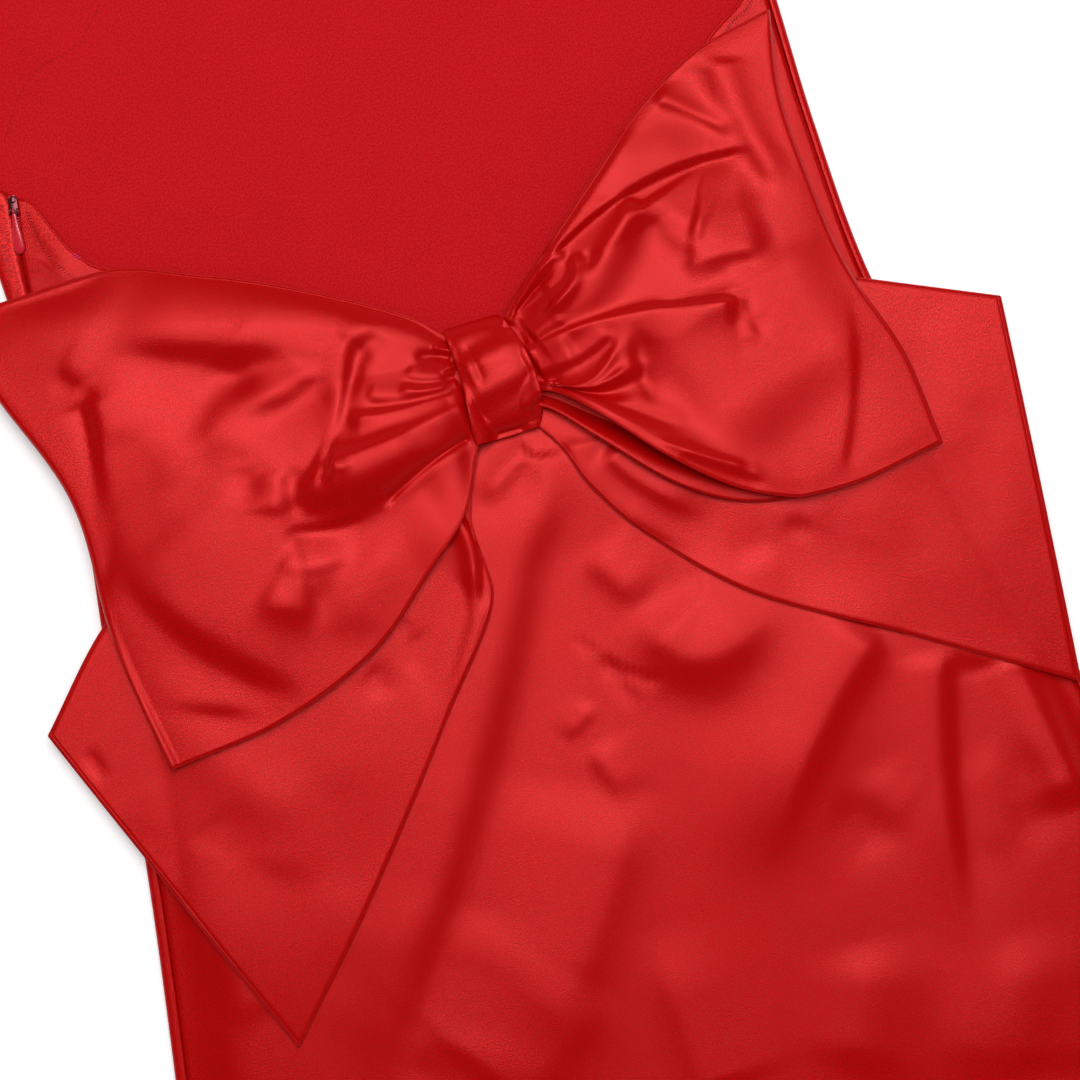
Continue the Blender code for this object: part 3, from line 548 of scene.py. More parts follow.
def weave_group():
    """Woven cloth: fine floats along the warp, and slow cloudiness over the piece."""
    tree, given = node_group("woven_cloth", "ShaderNodeTree", (
        ("INPUT", "Color", "Deep", (0.4, 0.0, 0.0, 1)),
        ("INPUT", "Color", "Bright", (0.6, 0.0, 0.0, 1)),
        ("INPUT", "Float", "Threads", 2200.0),
        ("INPUT", "Float", "Stretch", 0.35),
        ("INPUT", "Float", "Grain", 0.5),
        ("INPUT", "Float", "Rough Low", 0.3),
        ("INPUT", "Float", "Rough High", 0.45),
        ("OUTPUT", "Color", "Color"),
        ("OUTPUT", "Float", "Roughness"),
        ("OUTPUT", "Float", "Height"),
    ))
    cloth_map = node(tree, "ShaderNodeUVMap", uv_map="cloth")["UV"]
    place = node(tree, "ShaderNodeTexCoord")["Object"]
    stretch = node(tree, "ShaderNodeCombineXYZ", {"X": 1.0, "Y": given["Stretch"], "Z": 1.0})["Vector"]
    along = node(tree, "ShaderNodeVectorMath", {0: cloth_map, 1: stretch}, operation="MULTIPLY")["Vector"]
    floats = node(tree, "ShaderNodeTexNoise", {
        "Vector": along, "Scale": given["Threads"], "Detail": 3.0, "Roughness": 0.65})["Fac"]
    clouds = node(tree, "ShaderNodeTexNoise", {"Vector": place, "Scale": CLOUD_SCALE, "Detail": 3.0})["Fac"]
    grain = node(tree, "ShaderNodeMapRange", {
        "Value": floats, "From Min": GRAIN_SPREAD[0], "From Max": GRAIN_SPREAD[1]})["Result"]
    centred = maths(tree, "SUBTRACT", grain, 0.5)
    softened = maths(tree, "ADD", maths(tree, "MULTIPLY", centred, given["Grain"]), 0.5)
    cloud = maths(tree, "MULTIPLY", maths(tree, "SUBTRACT", clouds, 0.5), 0.5)
    mask = maths(tree, "ADD", softened, cloud)
    colour = node(tree, "ShaderNodeMix", {
        "Factor": mask, "A": given["Deep"], "B": given["Bright"]}, data_type="RGBA")["Result"]
    rough = node(tree, "ShaderNodeMapRange", {
        "Value": mask, "To Min": given["Rough High"], "To Max": given["Rough Low"]})["Result"]
    node(tree, "NodeGroupOutput", {"Color": colour, "Roughness": rough, "Height": grain})
    return tree


WEAVE = weave_group()


def cloth_material(name, deep, bright, rough, threads=2200.0, stretch=0.35, grain=0.5, metallic=0.0,
                   specular=0.5, bump=0.05):
    made, tree, shader = material(name)
    weave = node(tree, "ShaderNodeGroup", {
        "Deep": (*deep, 1), "Bright": (*bright, 1), "Threads": threads, "Stretch": stretch, "Grain": grain,
        "Rough Low": rough[0], "Rough High": rough[1]}, node_tree=WEAVE)
    bumped = node(tree, "ShaderNodeBump", {
        "Strength": bump, "Distance": BUMP_DEPTH, "Height": weave["Height"]})["Normal"]
    fill(tree, shader, {
        "Normal": bumped, "Base Color": weave["Color"], "Roughness": weave["Roughness"],
        "Metallic": metallic, "Specular IOR Level": specular})
    made.diffuse_color = (*bright, 1)
    return made


SATIN = cloth_material("satin", (0.33, 0.0008, 0.001), (0.60, 0.0014, 0.0016), (0.24, 0.31), threads=1900.0,
                       stretch=0.8, metallic=0.20, specular=0.16, grain=4.6, bump=0.17)
INSIDE = cloth_material("crepe_inside", (0.42, 0.0045, 0.0075), (0.55, 0.0075, 0.012), (0.85, 0.95),
                        threads=1250.0, stretch=0.9, grain=3.0, specular=0.08, bump=0.14)
THREAD = cloth_material("thread", (0.20, 0.002, 0.003), (0.40, 0.01, 0.012), (0.5, 0.7), threads=4000.0,
                        specular=0.2)
PALE_THREAD = cloth_material("pale_thread", (0.66, 0.008, 0.10), (0.80, 0.05, 0.22), (0.5, 0.7),
                             threads=4000.0, specular=0.25)
COIL = cloth_material("zip_coil", (0.55, 0.03, 0.07), (0.8, 0.2, 0.26), (0.2, 0.35), threads=3000.0,
                      specular=0.5)
TAPE = cloth_material("zip_tape", (0.46, 0.008, 0.016), (0.56, 0.014, 0.024), (0.7, 0.85), threads=3000.0,
                      stretch=1.0, grain=1.0, specular=0.15, bump=0.03)
LACQUER = cloth_material("tab_lacquer", (0.50, 0.010, 0.022), (0.58, 0.016, 0.034), (0.1, 0.16),
                         threads=900.0, stretch=1.0, grain=0.3, specular=0.5, bump=0.02)
SLIDER_METAL = cloth_material("slider_metal", (0.05, 0.006, 0.009), (0.15, 0.035, 0.045), (0.12, 0.22),
                              threads=900.0, stretch=1.0, grain=1.0, metallic=0.8, specular=0.5, bump=0.02)


# ---- making pieces
def to_world(points):
    return np.asarray(points, float) * MM + np.array(WAIST)


def placed(name, data):
    made = bpy.data.objects.new(name, data)
    SCENE.collection.objects.link(made)
    return made


def run_length(points):
    """How far along a line of points each of them lies."""
    return np.concatenate([[0], np.cumsum(np.linalg.norm(np.diff(points, axis=0), axis=1))])


def cloth(name, points, wall, finish, flip=False, offset=-1.0):
    """A piece of cloth from a grid of points, rows by columns, in dress millimetres."""
    down, across = points.shape[:2]
    mesh = bpy.data.meshes.new(name)
    grid = bmesh.new()
    bmesh.ops.create_grid(grid, x_segments=across - 1, y_segments=down - 1, size=0.5, calc_uvs=False)
    grid.to_mesh(mesh)
    grid.free()
    flat = np.empty(len(mesh.vertices) * 3)
    mesh.vertices.foreach_get("co", flat)
    flat = flat.reshape(-1, 3)
    ix = np.round((flat[:, 0] + 0.5) * (across - 1)).astype(int)
    iy = np.round((flat[:, 1] + 0.5) * (down - 1)).astype(int)
    world = to_world(points)
    mesh.vertices.foreach_set("co", world[iy, ix].ravel())
    over, up = run_length(world[down // 2]), run_length(world[:, across // 2])
    corner = np.empty(len(mesh.loops), int)
    mesh.loops.foreach_get("vertex_index", corner)
    layer = mesh.uv_layers.new(name="cloth")
    layer.data.foreach_set("uv", np.stack([over[ix][corner], up[iy][corner]], 1).ravel())
    if flip:
        mesh.flip_normals()
    mesh.shade_smooth()
    mesh.materials.append(finish)
    piece = placed(name, mesh)
    solidify = piece.modifiers.new("wall", "SOLIDIFY")
    solidify.thickness = wall * MM
    solidify.offset = offset
    return piece


def path_object(name, paths):
    """Lines of points in dress millimetres, as one mesh of edges for a node tree to follow."""
    spots, edges = [], []
    for path in paths:
        start = len(spots)
        spots += [tuple(p) for p in to_world(path)]
        edges += [(i, i + 1) for i in range(start, len(spots) - 1)]
    mesh = bpy.data.meshes.new(name)
    mesh.from_pydata(spots, edges, [])
    return placed(name, mesh)


def path_tree(name, spacing, floats):
    """A geometry tree that takes a path: the tree, its given sockets, and the path at an even spacing."""
    tree, given = node_group(name, "GeometryNodeTree", (
        ("INPUT", "Geometry", "Geometry"), *(("INPUT", "Float", *row) for row in floats),
        ("INPUT", "Material", "Finish"), ("OUTPUT", "Geometry", "Geometry")))
    line = node(tree, "GeometryNodeMeshToCurve", {"Mesh": given["Geometry"]})["Curve"]
    even = node(tree, "GeometryNodeResampleCurve", {"Curve": line, "Length": given[spacing]}, mode="LENGTH")
    return tree, given, even["Curve"]


def finish_tree(tree, given, shape):
    """Realize the instances, smooth them and give them the finish."""
    real = node(tree, "GeometryNodeRealizeInstances", {0: shape})[0]
    smooth = node(tree, "GeometryNodeSetShadeSmooth", {"Geometry": real})[0]
    painted = node(tree, "GeometryNodeSetMaterial", {"Geometry": smooth, "Material": given["Finish"]})[0]
    node(tree, "NodeGroupOutput", {0: painted})
    return tree


def roll_tree():
    """A thin roll of cloth along a path."""
    tree, given, line = path_tree("edge_roll", "Step", (("Radius", 0.0006), ("Step", 0.0015)))
    circle = node(tree, "GeometryNodeCurvePrimitiveCircle", {"Resolution": 8, "Radius": given["Radius"]})
    tube = node(tree, "GeometryNodeCurveToMesh", {
        "Curve": line, "Profile Curve": circle["Curve"], "Fill Caps": True})
    return finish_tree(tree, given, tube["Mesh"])


def stitch_tree():
    """Stitches that follow a path: short rounded threads at an even spacing, turned by Turn off the path."""
    tree, given, line = path_tree("stitch_run", "Spacing", (
        ("Spacing", 0.0025), ("Length", 0.0018), ("Thickness", 0.0004), ("Turn", 0.0)))
    tangent = node(tree, "GeometryNodeInputTangent")[0]
    align = node(tree, "FunctionNodeAlignRotationToVector", {"Vector": tangent}, axis="X")["Rotation"]
    off = node(tree, "ShaderNodeCombineXYZ", {"Z": given["Turn"]})["Vector"]
    turn = node(tree, "FunctionNodeRotateRotation", {
        "Rotation": align, "Rotate By": off}, rotation_space="LOCAL")["Rotation"]
    thread = node(tree, "GeometryNodeMeshIcoSphere", {"Radius": 0.5, "Subdivisions": 1})["Mesh"]
    size = node(tree, "ShaderNodeCombineXYZ", {
        "X": given["Length"], "Y": given["Thickness"], "Z": given["Thickness"]})["Vector"]
    threads = node(tree, "GeometryNodeInstanceOnPoints", {
        "Points": line, "Instance": thread, "Rotation": turn, "Scale": size})["Instances"]
    return finish_tree(tree, given, threads)


ROLL = roll_tree()
STITCH = stitch_tree()


def along_path(name, paths, tree, finish, **sizes):
    """Run a node tree along paths and keep what it makes as a plain mesh. Sizes are in millimetres, turns
    in radians."""
    source = path_object(name + "_path", paths)
    modifier = source.modifiers.new(tree.name, "NODES")
    modifier.node_group = tree
    values = {label: size * (1.0 if label == "Turn" else MM) for label, size in sizes.items()}
    values["Finish"] = finish
    for socket in tree.interface.items_tree:
        if socket.in_out == "INPUT" and socket.name in values:
            modifier[socket.identifier] = values[socket.name]
    bpy.context.view_layer.update()
    graph = bpy.context.evaluated_depsgraph_get()
    mesh = bpy.data.meshes.new_from_object(source.evaluated_get(graph), depsgraph=graph)
    bpy.data.objects.remove(source)
    mesh.name = name
    mesh.materials.clear()
    mesh.materials.append(finish)
    return placed(name, mesh)


def laid_on(grid, xs, ys, rise):
    """A path over a grid of cloth: the cloth's height at each x and y, and a rise above it."""
    flat = grid.reshape(-1, 3)
    path = []
    for x, y in zip(xs, ys):
        near = np.argmin((flat[:, 0] - x) ** 2 + (flat[:, 1] - y) ** 2)
        path.append((x, y, flat[near, 2] + rise))
    return np.array(path)


def edge_of(border, inner, inset, drop):
    """A path along a border of a grid, a little way in towards the next line of points."""
    way = inner - border
    way /= np.maximum(np.linalg.norm(way, axis=-1, keepdims=True), 1e-6)
    return border + way * inset - np.array([0, 0, drop])


# ---- the front
FINE_FROM_Y = -380.0
INSIDE_FROM_Y = 60.0


def front_points():
    """The front's grid: flat inside, rolled round each side up to the seams."""
    ys = np.concatenate([
        np.linspace(HEM_Y, FINE_FROM_Y, 70, endpoint=False),
        np.linspace(FINE_FROM_Y, INSIDE_FROM_Y, 120, endpoint=False),
        np.linspace(INSIDE_FROM_Y, NECK_Y, 110),
    ])
    flat_steps, roll_steps = 34, 6
    side = np.concatenate([
        np.arange(1, flat_steps + 1) / flat_steps,
        1 + np.arange(1, roll_steps + 1) / roll_steps,
        2 + np.arange(1, 4) / 3,
    ])
    along = np.concatenate([-side[::-1], [0], side])
    middle = (edge_left(ys) + edge_right(ys)) / 2
    points = np.zeros((len(ys), len(along), 3))
    for j, a in enumerate(along):
        way = -1 if a < 0 else 1
        a = abs(a)
        edge, wrap = side_at(ys, way)
        edge = edge - way * WALL / 2
        bend = math.pi * (1 - ease((ys - ROLL_ENDS_Y[0]) / (ROLL_ENDS_Y[1] - ROLL_ENDS_Y[0])))
        bend = np.maximum(bend, 1e-4)
        flat = edge - way * (SIDE_ROLL + (1 - bend / math.pi) * (SIDE_ROLL * (math.pi - 1) + wrap))
        radius = SIDE_ROLL * math.pi / bend
        arc = SIDE_ROLL * math.pi * min(max(a - 1, 0), 1)
        past = max(a - 2, 0) * wrap
        out = radius * np.sin(arc / radius) + past * np.cos(bend)
        rise = radius * (1 - np.cos(arc / radius)) + past * np.sin(bend)
        x = np.where(a <= 1, middle + (flat - middle) * min(a, 1), flat + way * out)
        points[:, j] = np.stack([x, ys, FRONT_Z + rise], 1)
    x, y = points[..., 0], points[..., 1]
    inside = (y > INSIDE_FROM_Y) & (np.abs(along)[None, :] <= 1)
    lift = np.maximum(relief(FRONT_SLOPES, (), x, y) + 0.25 * (1 + ripple(x, y, 60, 5)), 0)
    lift = lift * ease((y - INSIDE_FROM_Y) / 60) * ease((1 - np.abs(along)[None, :]) / 0.06)
    points[..., 2] += np.where(inside, lift, 0)
    return points


# ---- the back
SEAM_DIP = 0.3
SEAM_DIP_REACH = 1.3
SEAM_GAP = 0.15
SIDE_PUFF = 0.48        # share of the skirt's puff left by its side seams
EDGE_PUFF = 0.35        # share of it left at the open back's edge
SIDE_FOLDS = 0.4        # share of the folds' height left by the seams
LOWEST_RISE = -0.8


def back_points():
    shares = np.concatenate([np.linspace(0, 0.56, 48, endpoint=False), np.linspace(0.56, 1, 222)])
    u = np.linspace(0, 1, 164)
    u = u - 0.045 * np.sin(2 * math.pi * u) / math.pi
    edge_x = BACK_EDGE[0][1] + SEAM_GAP + u * (BACK_EDGE[-1][1] - BACK_EDGE[0][1] - 2 * SEAM_GAP)
    top_y = back_edge(edge_x)
    y = HEM_Y + shares[:, None] * (top_y[None, :] - HEM_Y)
    left, right = seam_x(y, -1) + SEAM_GAP, seam_x(y, 1) - SEAM_GAP
    x = left + u[None, :] * (right - left)
    top_x = seam_x(top_y, -1) + SEAM_GAP + u * (seam_x(top_y, 1) - seam_x(top_y, -1) - 2 * SEAM_GAP)
    x = x + (edge_x - top_x)[None, :] * ease((shares[:, None] - 0.9) / 0.1)
    z = back_height(x, y, shares[:, None], left, right)
    return np.stack([x, y, z], -1)


def back_height(x, y, share, left, right):
    side = ease((x - left) / SIDE_TURN) * ease((right - x) / SIDE_TURN)
    calm = ease((x - left) / SIDE_CALM) * ease((right - x) / SIDE_CALM)
    edge = EDGE_PUFF + (1 - EDGE_PUFF) * ease((1 - share) / 0.08)
    folds = relief(SKIRT_SLOPES, SKIRT_FOLDS, x, y) * (SIDE_FOLDS + (1 - SIDE_FOLDS) * calm * edge)
    puff = SKIRT_PUFF * (SIDE_PUFF + (1 - SIDE_PUFF) * calm) * edge
    rise = side * (puff + folds) + (1 - side) * SIDE_FOLDS * folds
    rise = rise + 0.35 * ripple(x, y, 90, 11) * calm * edge
    top = BACK_Z + WALL / 2 + np.maximum(rise, LOWEST_RISE)
    for seam, way in ((left, 1), (right, -1)):
        top = top - SEAM_DIP * np.exp(-(((x - seam) * way / SEAM_DIP_REACH) ** 2))
    return top


# ---- the bow
CLOTH_GAP = 0.25        # left between a piece of the bow and what it lies on
MOUTH_LONG = 0.75       # how far out the loop's open edge runs, as a share of its length
LIP_DEEP = 0.13
MOUTH_DEEP = 0.3
KNOT_CROWN = 2.4
KNOT_SINK = 1.0


def unit_grid(down, along):
    """Shares down a piece, as a column, and along it, as a row."""
    return np.linspace(0, 1, down)[:, None], np.linspace(0, 1, along)[None, :]


def sections(table, share):
    """Each column of a table of sections, read at the shares of the way out."""
    at = share * (len(table) - 1)
    return [smooth_line(range(len(table)), column(table, i))(at) for i in range(1, len(table[0]))]


def tail_points(table, slopes, folds, cover):
    v, u = unit_grid(76, 120)
    upper_x, upper_y, lower_x, lower_y = sections(table, u)
    x = lower_x + v * (upper_x - lower_x)
    y = lower_y + v * (upper_y - lower_y)
    puff = TAIL_PUFF * 4 * v * (1 - v) * np.minimum(u / 0.3, 1)
    rise = np.maximum(puff + relief(slopes, folds, x, y) + 0.25 * ripple(x, y, 55, 3), 0)
    return np.stack([x, y, np.maximum(cover(x, y), BOW_FLOAT) + BOW_WALL + CLOTH_GAP + rise], -1)


def loop_points(table, dip, edges, slopes, folds, cover, mouth):
    """The loop's outer surface: out from the knot under, round the fold and back on top."""
    side = -1 if table[-1][1] < 0 else 1
    v, under = unit_grid(132, 44)
    turn = math.pi * np.linspace(0, 1, 9)[None, 1:-1]
    over = np.linspace(0, 1, 124)
    depth, centre, spread, power = dip
    radius = table[-1][-1] / 2

    def gape(share, reach):
        return mouth * np.sin(math.pi * np.minimum(share / MOUTH_LONG, 1)) * (1 - ease(v / reach))

    def lower(share):
        upper_x, upper_y, lower_x, lower_y, puff = sections(table, share)
        drawn = depth * share**3 * np.exp(-np.abs((v - centre) / spread) ** power)
        x = lower_x + v * (upper_x - lower_x) - side * drawn
        y = lower_y + v * (upper_y - lower_y)
        return x, y, np.maximum(cover(x, y), BOW_FLOAT) + CLOTH_GAP, puff

    x, y, z, _ = lower(under)
    below = np.stack([x, y, z + MOUTH_LIP * gape(under, LIP_DEEP)], -1)
    x, y, z, _ = lower(np.ones((1, 1)))
    fold = np.stack([
        x + side * radius * np.sin(turn), y + 0 * turn, z + radius * (1 - np.cos(turn))], -1)
    share = over[None, ::-1]
    x, y, z, puff = lower(share)
    low_share, low_span, high_share, high_span = edges
    shape = puff * (low_share + (1 - low_share) * ease(v / low_span))
    high = np.sin(math.pi / 2 * np.minimum((1 - v) / high_span, 1))
    shape = shape * (high_share + (1 - high_share) * high)
    open_edge = gape(share, MOUTH_DEEP)
    creases = relief(slopes, folds, x, y) + 0.2 * ripple(x, y, 40, 8)
    lift = shape + creases * (1 - ease((share - 0.9) / 0.1))
    top = z + np.maximum(lift, 2 * BOW_WALL + 0.5) + MOUTH_LIFT * open_edge
    above = np.stack([x, y + MOUTH_SETBACK * open_edge, top], -1)
    return np.concatenate([below, fold, above], 1), above


def knot_points(cover):
    v, u = unit_grid(72, 44)
    y, left, right, rise = sections(KNOT_ROWS, v)
    x = left + u * (right - left)
    y = y + 0 * u
    crown = KNOT_CROWN * (1 - np.abs(2 * u - 1) ** 3) - KNOT_SINK
    z = np.maximum(BACK_Z + WALL / 2 + rise, cover(x, y) + BOW_WALL + 0.4) + crown
    return np.stack([x, y, z + relief(KNOT_SLOPES, KNOT_FOLDS, x, y)], -1)[::-1]


# ---- lay the dress
# How far round a high place the next layer stays up, and over what width it comes down.
TAILS_COVER = (12.0, 9.0)
LOOPS_COVER = (14.0, 9.0)
KNOT_COVER = (3.0, 1.6)

heap = Heap()
front_grid = front_points()
heap.lay(front_grid + np.array([0, 0, WALL / 2]))
back_grid = back_points()
heap.lay(back_grid)
on_back = heap.cover(*TAILS_COVER)
left_tail_grid = tail_points(LEFT_TAIL, LEFT_TAIL_SLOPES, LEFT_TAIL_FOLDS, on_back)
right_tail_grid = tail_points(RIGHT_TAIL, RIGHT_TAIL_SLOPES, RIGHT_TAIL_FOLDS, on_back)
heap.lay(left_tail_grid)
heap.lay(right_tail_grid)
on_tails = heap.cover(*LOOPS_COVER)
left_loop_grid, left_loop_top = loop_points(
    LEFT_LOOP, LEFT_FOLD_DIP, LEFT_EDGES, LEFT_LOOP_SLOPES, LEFT_LOOP_FOLDS, on_tails, 0.0)
right_loop_grid, right_loop_top = loop_points(
    RIGHT_LOOP, RIGHT_FOLD_DIP, RIGHT_EDGES, RIGHT_LOOP_SLOPES, RIGHT_LOOP_FOLDS, on_tails, 1.0)
heap.lay(left_loop_top)
heap.lay(right_loop_top)
on_loops = heap.cover(*KNOT_COVER)

front = cloth("front_cloth", front_grid, WALL, INSIDE, offset=0.0)
front.data.materials.append(SATIN)
front.modifiers["wall"].material_offset = 1
front.modifiers["wall"].material_offset_rim = 1
back = cloth("back_cloth", back_grid, WALL, SATIN)
left_tail = cloth("left_tail_cloth", left_tail_grid, BOW_WALL, SATIN, flip=True)
right_tail = cloth("right_tail_cloth", right_tail_grid, BOW_WALL, SATIN)
left_loop = cloth("left_loop_cloth", left_loop_grid, BOW_WALL, SATIN)
right_loop = cloth("right_loop_cloth", right_loop_grid, BOW_WALL, SATIN, flip=True)
knot = cloth("knot_cloth", knot_points(on_loops), BOW_WALL, SATIN)

# ---- the strap
STRAP_LAP = 0.3         # how far the strap starts above the neck edge
STRAP_Z = 1.5
STRAP_CROWN = 0.9


def strap_points():
    outer = (edge_right(NECK_Y) - edge_left(NECK_Y)) / 2
    middle = (edge_right(NECK_Y) + edge_left(NECK_Y)) / 2
    v, along = unit_grid(14, 120)
    angle = math.pi * along
    half = outer - (1 - v) * STRAP_WIDTH
    rise = STRAP_RISE - (1 - v) * STRAP_WIDTH
    x = middle - half * np.cos(angle)
    y = NECK_Y + STRAP_LAP + rise * np.sin(angle)
    z = STRAP_Z + STRAP_CROWN * np.sin(math.pi * v) + 0.15 * ripple(x, y, 30, 4)
    return np.stack([x, y, z + 0 * x], -1)


strap = cloth("strap_cloth", strap_points(), WALL + 0.3, SATIN)

# ---- edges and stitches
ROLL_RADIUS = 0.44
ROLL_INSET = 1.25
ROLL_DROP = 0.44
ROLL_STEP = 0.12        # the inner roll stands this much prouder


def piece_edges(grid, sides):
    """The double roll round a turned-through piece: along its seam edge, and just inside it."""
    borders = {
        "low": (grid[0], grid[2]), "high": (grid[-1], grid[-3]),
        "start": (grid[:, 0], grid[:, 2]), "end": (grid[:, -1], grid[:, -3]),
    }
    paths = []
    for side in sides:
        border, inner = borders[side]
        paths.append(edge_of(border, inner, 0.0, ROLL_DROP))
        paths.append(edge_of(border, inner, ROLL_INSET, ROLL_DROP - ROLL_STEP))
    return paths


bow_rolls = along_path(
    "bow_edge_rolls",
    piece_edges(left_tail_grid, ("low", "high", "end"))
    + piece_edges(right_tail_grid, ("low", "high", "end"))
    + piece_edges(left_loop_grid, ("low", "high")) + piece_edges(right_loop_grid, ("low", "high")),
    ROLL, SATIN, Radius=ROLL_RADIUS, Step=1.6)
back_rolls = along_path(
    "back_edge_roll", [edge_of(back_grid[-1], back_grid[-3], 0.2, 0.35)], ROLL, SATIN, Radius=0.5, Step=2.0)

WING_STITCH = (
    (-180.3, 134.4), (-178.3, 121.1), (-177.0, 114.5), (-174.4, 109.0), (-170.7, 102.7), (-163.0, 92.0))
RIGHT_STITCH = ((136.0, 110.0), (145.6, 119.4), (150.4, 123.6), (157.7, 126.7), (165.0, 133.0))
DART_STITCH = (
    (-121.8, 215.6), (-134.9, 202.2), (-143.5, 198.7), (-155.8, 196.8), (-164.6, 191.0), (-171.6, 183.7),
    (-180.5, 170.0))
TACK = ((-165.0, 109.6), (-163.4, 107.6))
HEM_RISE = 20.0
HEM_INSET = 6.0
HEM_POINTS = 240


def run_of(points, step):
    """The points of a given line, spaced evenly."""
    points = np.asarray(points, float)
    along = run_length(points)
    at = np.linspace(0, along[-1], max(int(along[-1] / step), 2))
    return np.interp(at, along, points[:, 0]), np.interp(at, along, points[:, 1])


hem_x = np.linspace(edge_left(HEM_Y) + HEM_INSET, edge_right(HEM_Y) - HEM_INSET, HEM_POINTS)
hem_line = laid_on(back_grid, hem_x, np.full(HEM_POINTS, HEM_Y + HEM_RISE), 0.05)
overlock = along_path(
    "wing_overlock",
    [laid_on(back_grid, *run_of(route, 1.0), 0.12) for route in (WING_STITCH, RIGHT_STITCH)],
    STITCH, THREAD, Spacing=1.5, Length=2.3, Thickness=0.5, Turn=0.95)
stitches = along_path(
    "seam_stitches",
    [laid_on(front_grid, *run_of(DART_STITCH, 2.0), WALL / 2 + 0.05), hem_line],
    STITCH, THREAD, Spacing=2.6, Length=1.9, Thickness=0.38, Turn=0.0)
tack = along_path(
    "pink_tack", [laid_on(back_grid, *run_of(TACK, 1.0), 0.35)], STITCH, PALE_THREAD,
    Spacing=1.1, Length=3.0, Thickness=0.55, Turn=1.1)


# ---- zip
ZIP_TOP_Y = 141.0
ZIP_FOOT_Y = -195.0
TAPE_HALF = 11.0
TAPE_Z = 2.9
COIL_Z = 1.9
COIL_STEP = 2.6         # rise of the coil where it climbs on to the wing
WING_OVER_Y = 128.0
TOOTH_OUT = 0.95
WING_TUCK = 1.4         # the tape ends this far inside the wing's edge
SEAM_TUCK = 1.8


def tape_points():
    v = np.concatenate([np.linspace(0, 0.9, 40, endpoint=False), np.linspace(0.9, 1, 24)])[:, None]
    u = np.linspace(0, 1, 9)[None, :]
    y = ZIP_FOOT_Y + v * (ZIP_TOP_Y - ZIP_FOOT_Y)
    seam = seam_x(y, -1)
    wing = np.interp(-y, [-row[2] for row in BACK_EDGE[:6]], [row[1] for row in BACK_EDGE[:6]])
    left = seam - np.minimum(TAPE_HALF, wrap_left(y))
    right = np.minimum(seam + TAPE_HALF, np.maximum(wing - WING_TUCK, seam + SEAM_TUCK))
    x = left + u * (right - left)
    return np.stack([x, y + 0 * x, TAPE_Z + 0.12 * ripple(x, y, 14, 6)], -1)


def ring_faces(rings, sides, closed=False):
    """Faces from each ring of points to the next, and from the last to the first if closed."""
    corners = ((0, 0), (0, 1), (1, 1), (1, 0))
    return [tuple((ring + up) % rings * sides + (side + on) % sides for up, on in corners)
            for ring in range(rings if closed else rings - 1) for side in range(sides)]


def superball(size, centre, power, rings=11, sides=16):
    """A rounded block as points and faces: power runs from 1, a ball, down to a sharp box."""
    def bent(value):
        return math.copysign(abs(value) ** power, value)

    points = []
    for ring in range(rings):
        tilt = math.pi * (ring / (rings - 1) - 0.5)
        for side in range(sides):
            turn = 2 * math.pi * side / sides
            unit = (bent(math.cos(tilt)) * bent(math.cos(turn)), bent(math.cos(tilt)) * bent(math.sin(turn)),
                    bent(math.sin(tilt)))
            points.append([centre[i] + size[i] / 2 * unit[i] for i in range(3)])
    return points, ring_faces(rings, sides)


SLIDER_TURN = Matrix.Rotation(math.radians(-9.0), 4, "Z")
SLIDER_HALF = 0.75      # half of the slider's lower plate
PIN_AT = Vector((0, -2.6, 2.15))
TAB_LEAN = Matrix.Rotation(math.radians(8.0), 4, "X")
slider_low, slider_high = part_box("zip_slider")
SLIDER_PLACE = Matrix.Translation((
    (slider_low[0] + slider_high[0]) / 2,
    (slider_low[1] + slider_high[1]) / 2,
    slider_low[2] + SLIDER_HALF * MM,
)) @ SLIDER_TURN
TAB_PLACE = SLIDER_PLACE @ Matrix.Translation(PIN_AT * MM) @ TAB_LEAN


def joined(name, shapes, place, finish):
    """One smooth mesh from points and faces given in millimetres in the frame of a placed solid."""
    points, faces = [], []
    for some, more in shapes:
        faces += [tuple(len(points) + i for i in face) for face in more]
        points += some
    mesh = bpy.data.meshes.new(name)
    mesh.from_pydata([place @ (Vector(p) * MM) for p in points], [], faces)
    made = bmesh.new()
    made.from_mesh(mesh)
    bmesh.ops.remove_doubles(made, verts=made.verts, dist=2e-6)
    bmesh.ops.recalc_face_normals(made, faces=made.faces)
    made.to_mesh(mesh)
    made.free()
    mesh.shade_smooth()
    mesh.materials.append(finish)
    return placed(name, mesh)


def teardrop(length=18.6, rings=35, sides=20):
    """The tab: a domed drop, narrow at its eye and wide at its foot."""
    points = []
    for ring in range(rings):
        t = 0.5 - 0.5 * math.cos(math.pi * ring / (rings - 1))
        foot, eye = max((t - 0.84) / 0.16, 0), max((0.07 - t) / 0.07, 0)
        end = math.sqrt(max(1 - foot**2, 0)) * math.sqrt(max(1 - eye**2, 0))
        half = (1.0 + 1.45 * float(ease(t / 0.8))) * end
        thick = (0.42 + 0.2 * float(ease(t / 0.6))) * max(end, 0.01) ** 0.8
        for side in range(sides):
            turn = 2 * math.pi * side / sides
            points.append([half * math.cos(turn), -0.55 - length * t, thick * math.sin(turn) + 0.1 * end])
    return points, ring_faces(rings, sides)


def ring_shape(radius, thick, rings=20, sides=10):
    """A ring that runs round the x axis."""
    points = []
    for ring in range(rings):
        a = 2 * math.pi * ring / rings
        for side in range(sides):
            b = 2 * math.pi * side / sides
            out = radius + thick * math.cos(b)
            points.append([1.6 * thick * math.sin(b), out * math.cos(a), out * math.sin(a)])
    return points, ring_faces(rings, sides, closed=True)


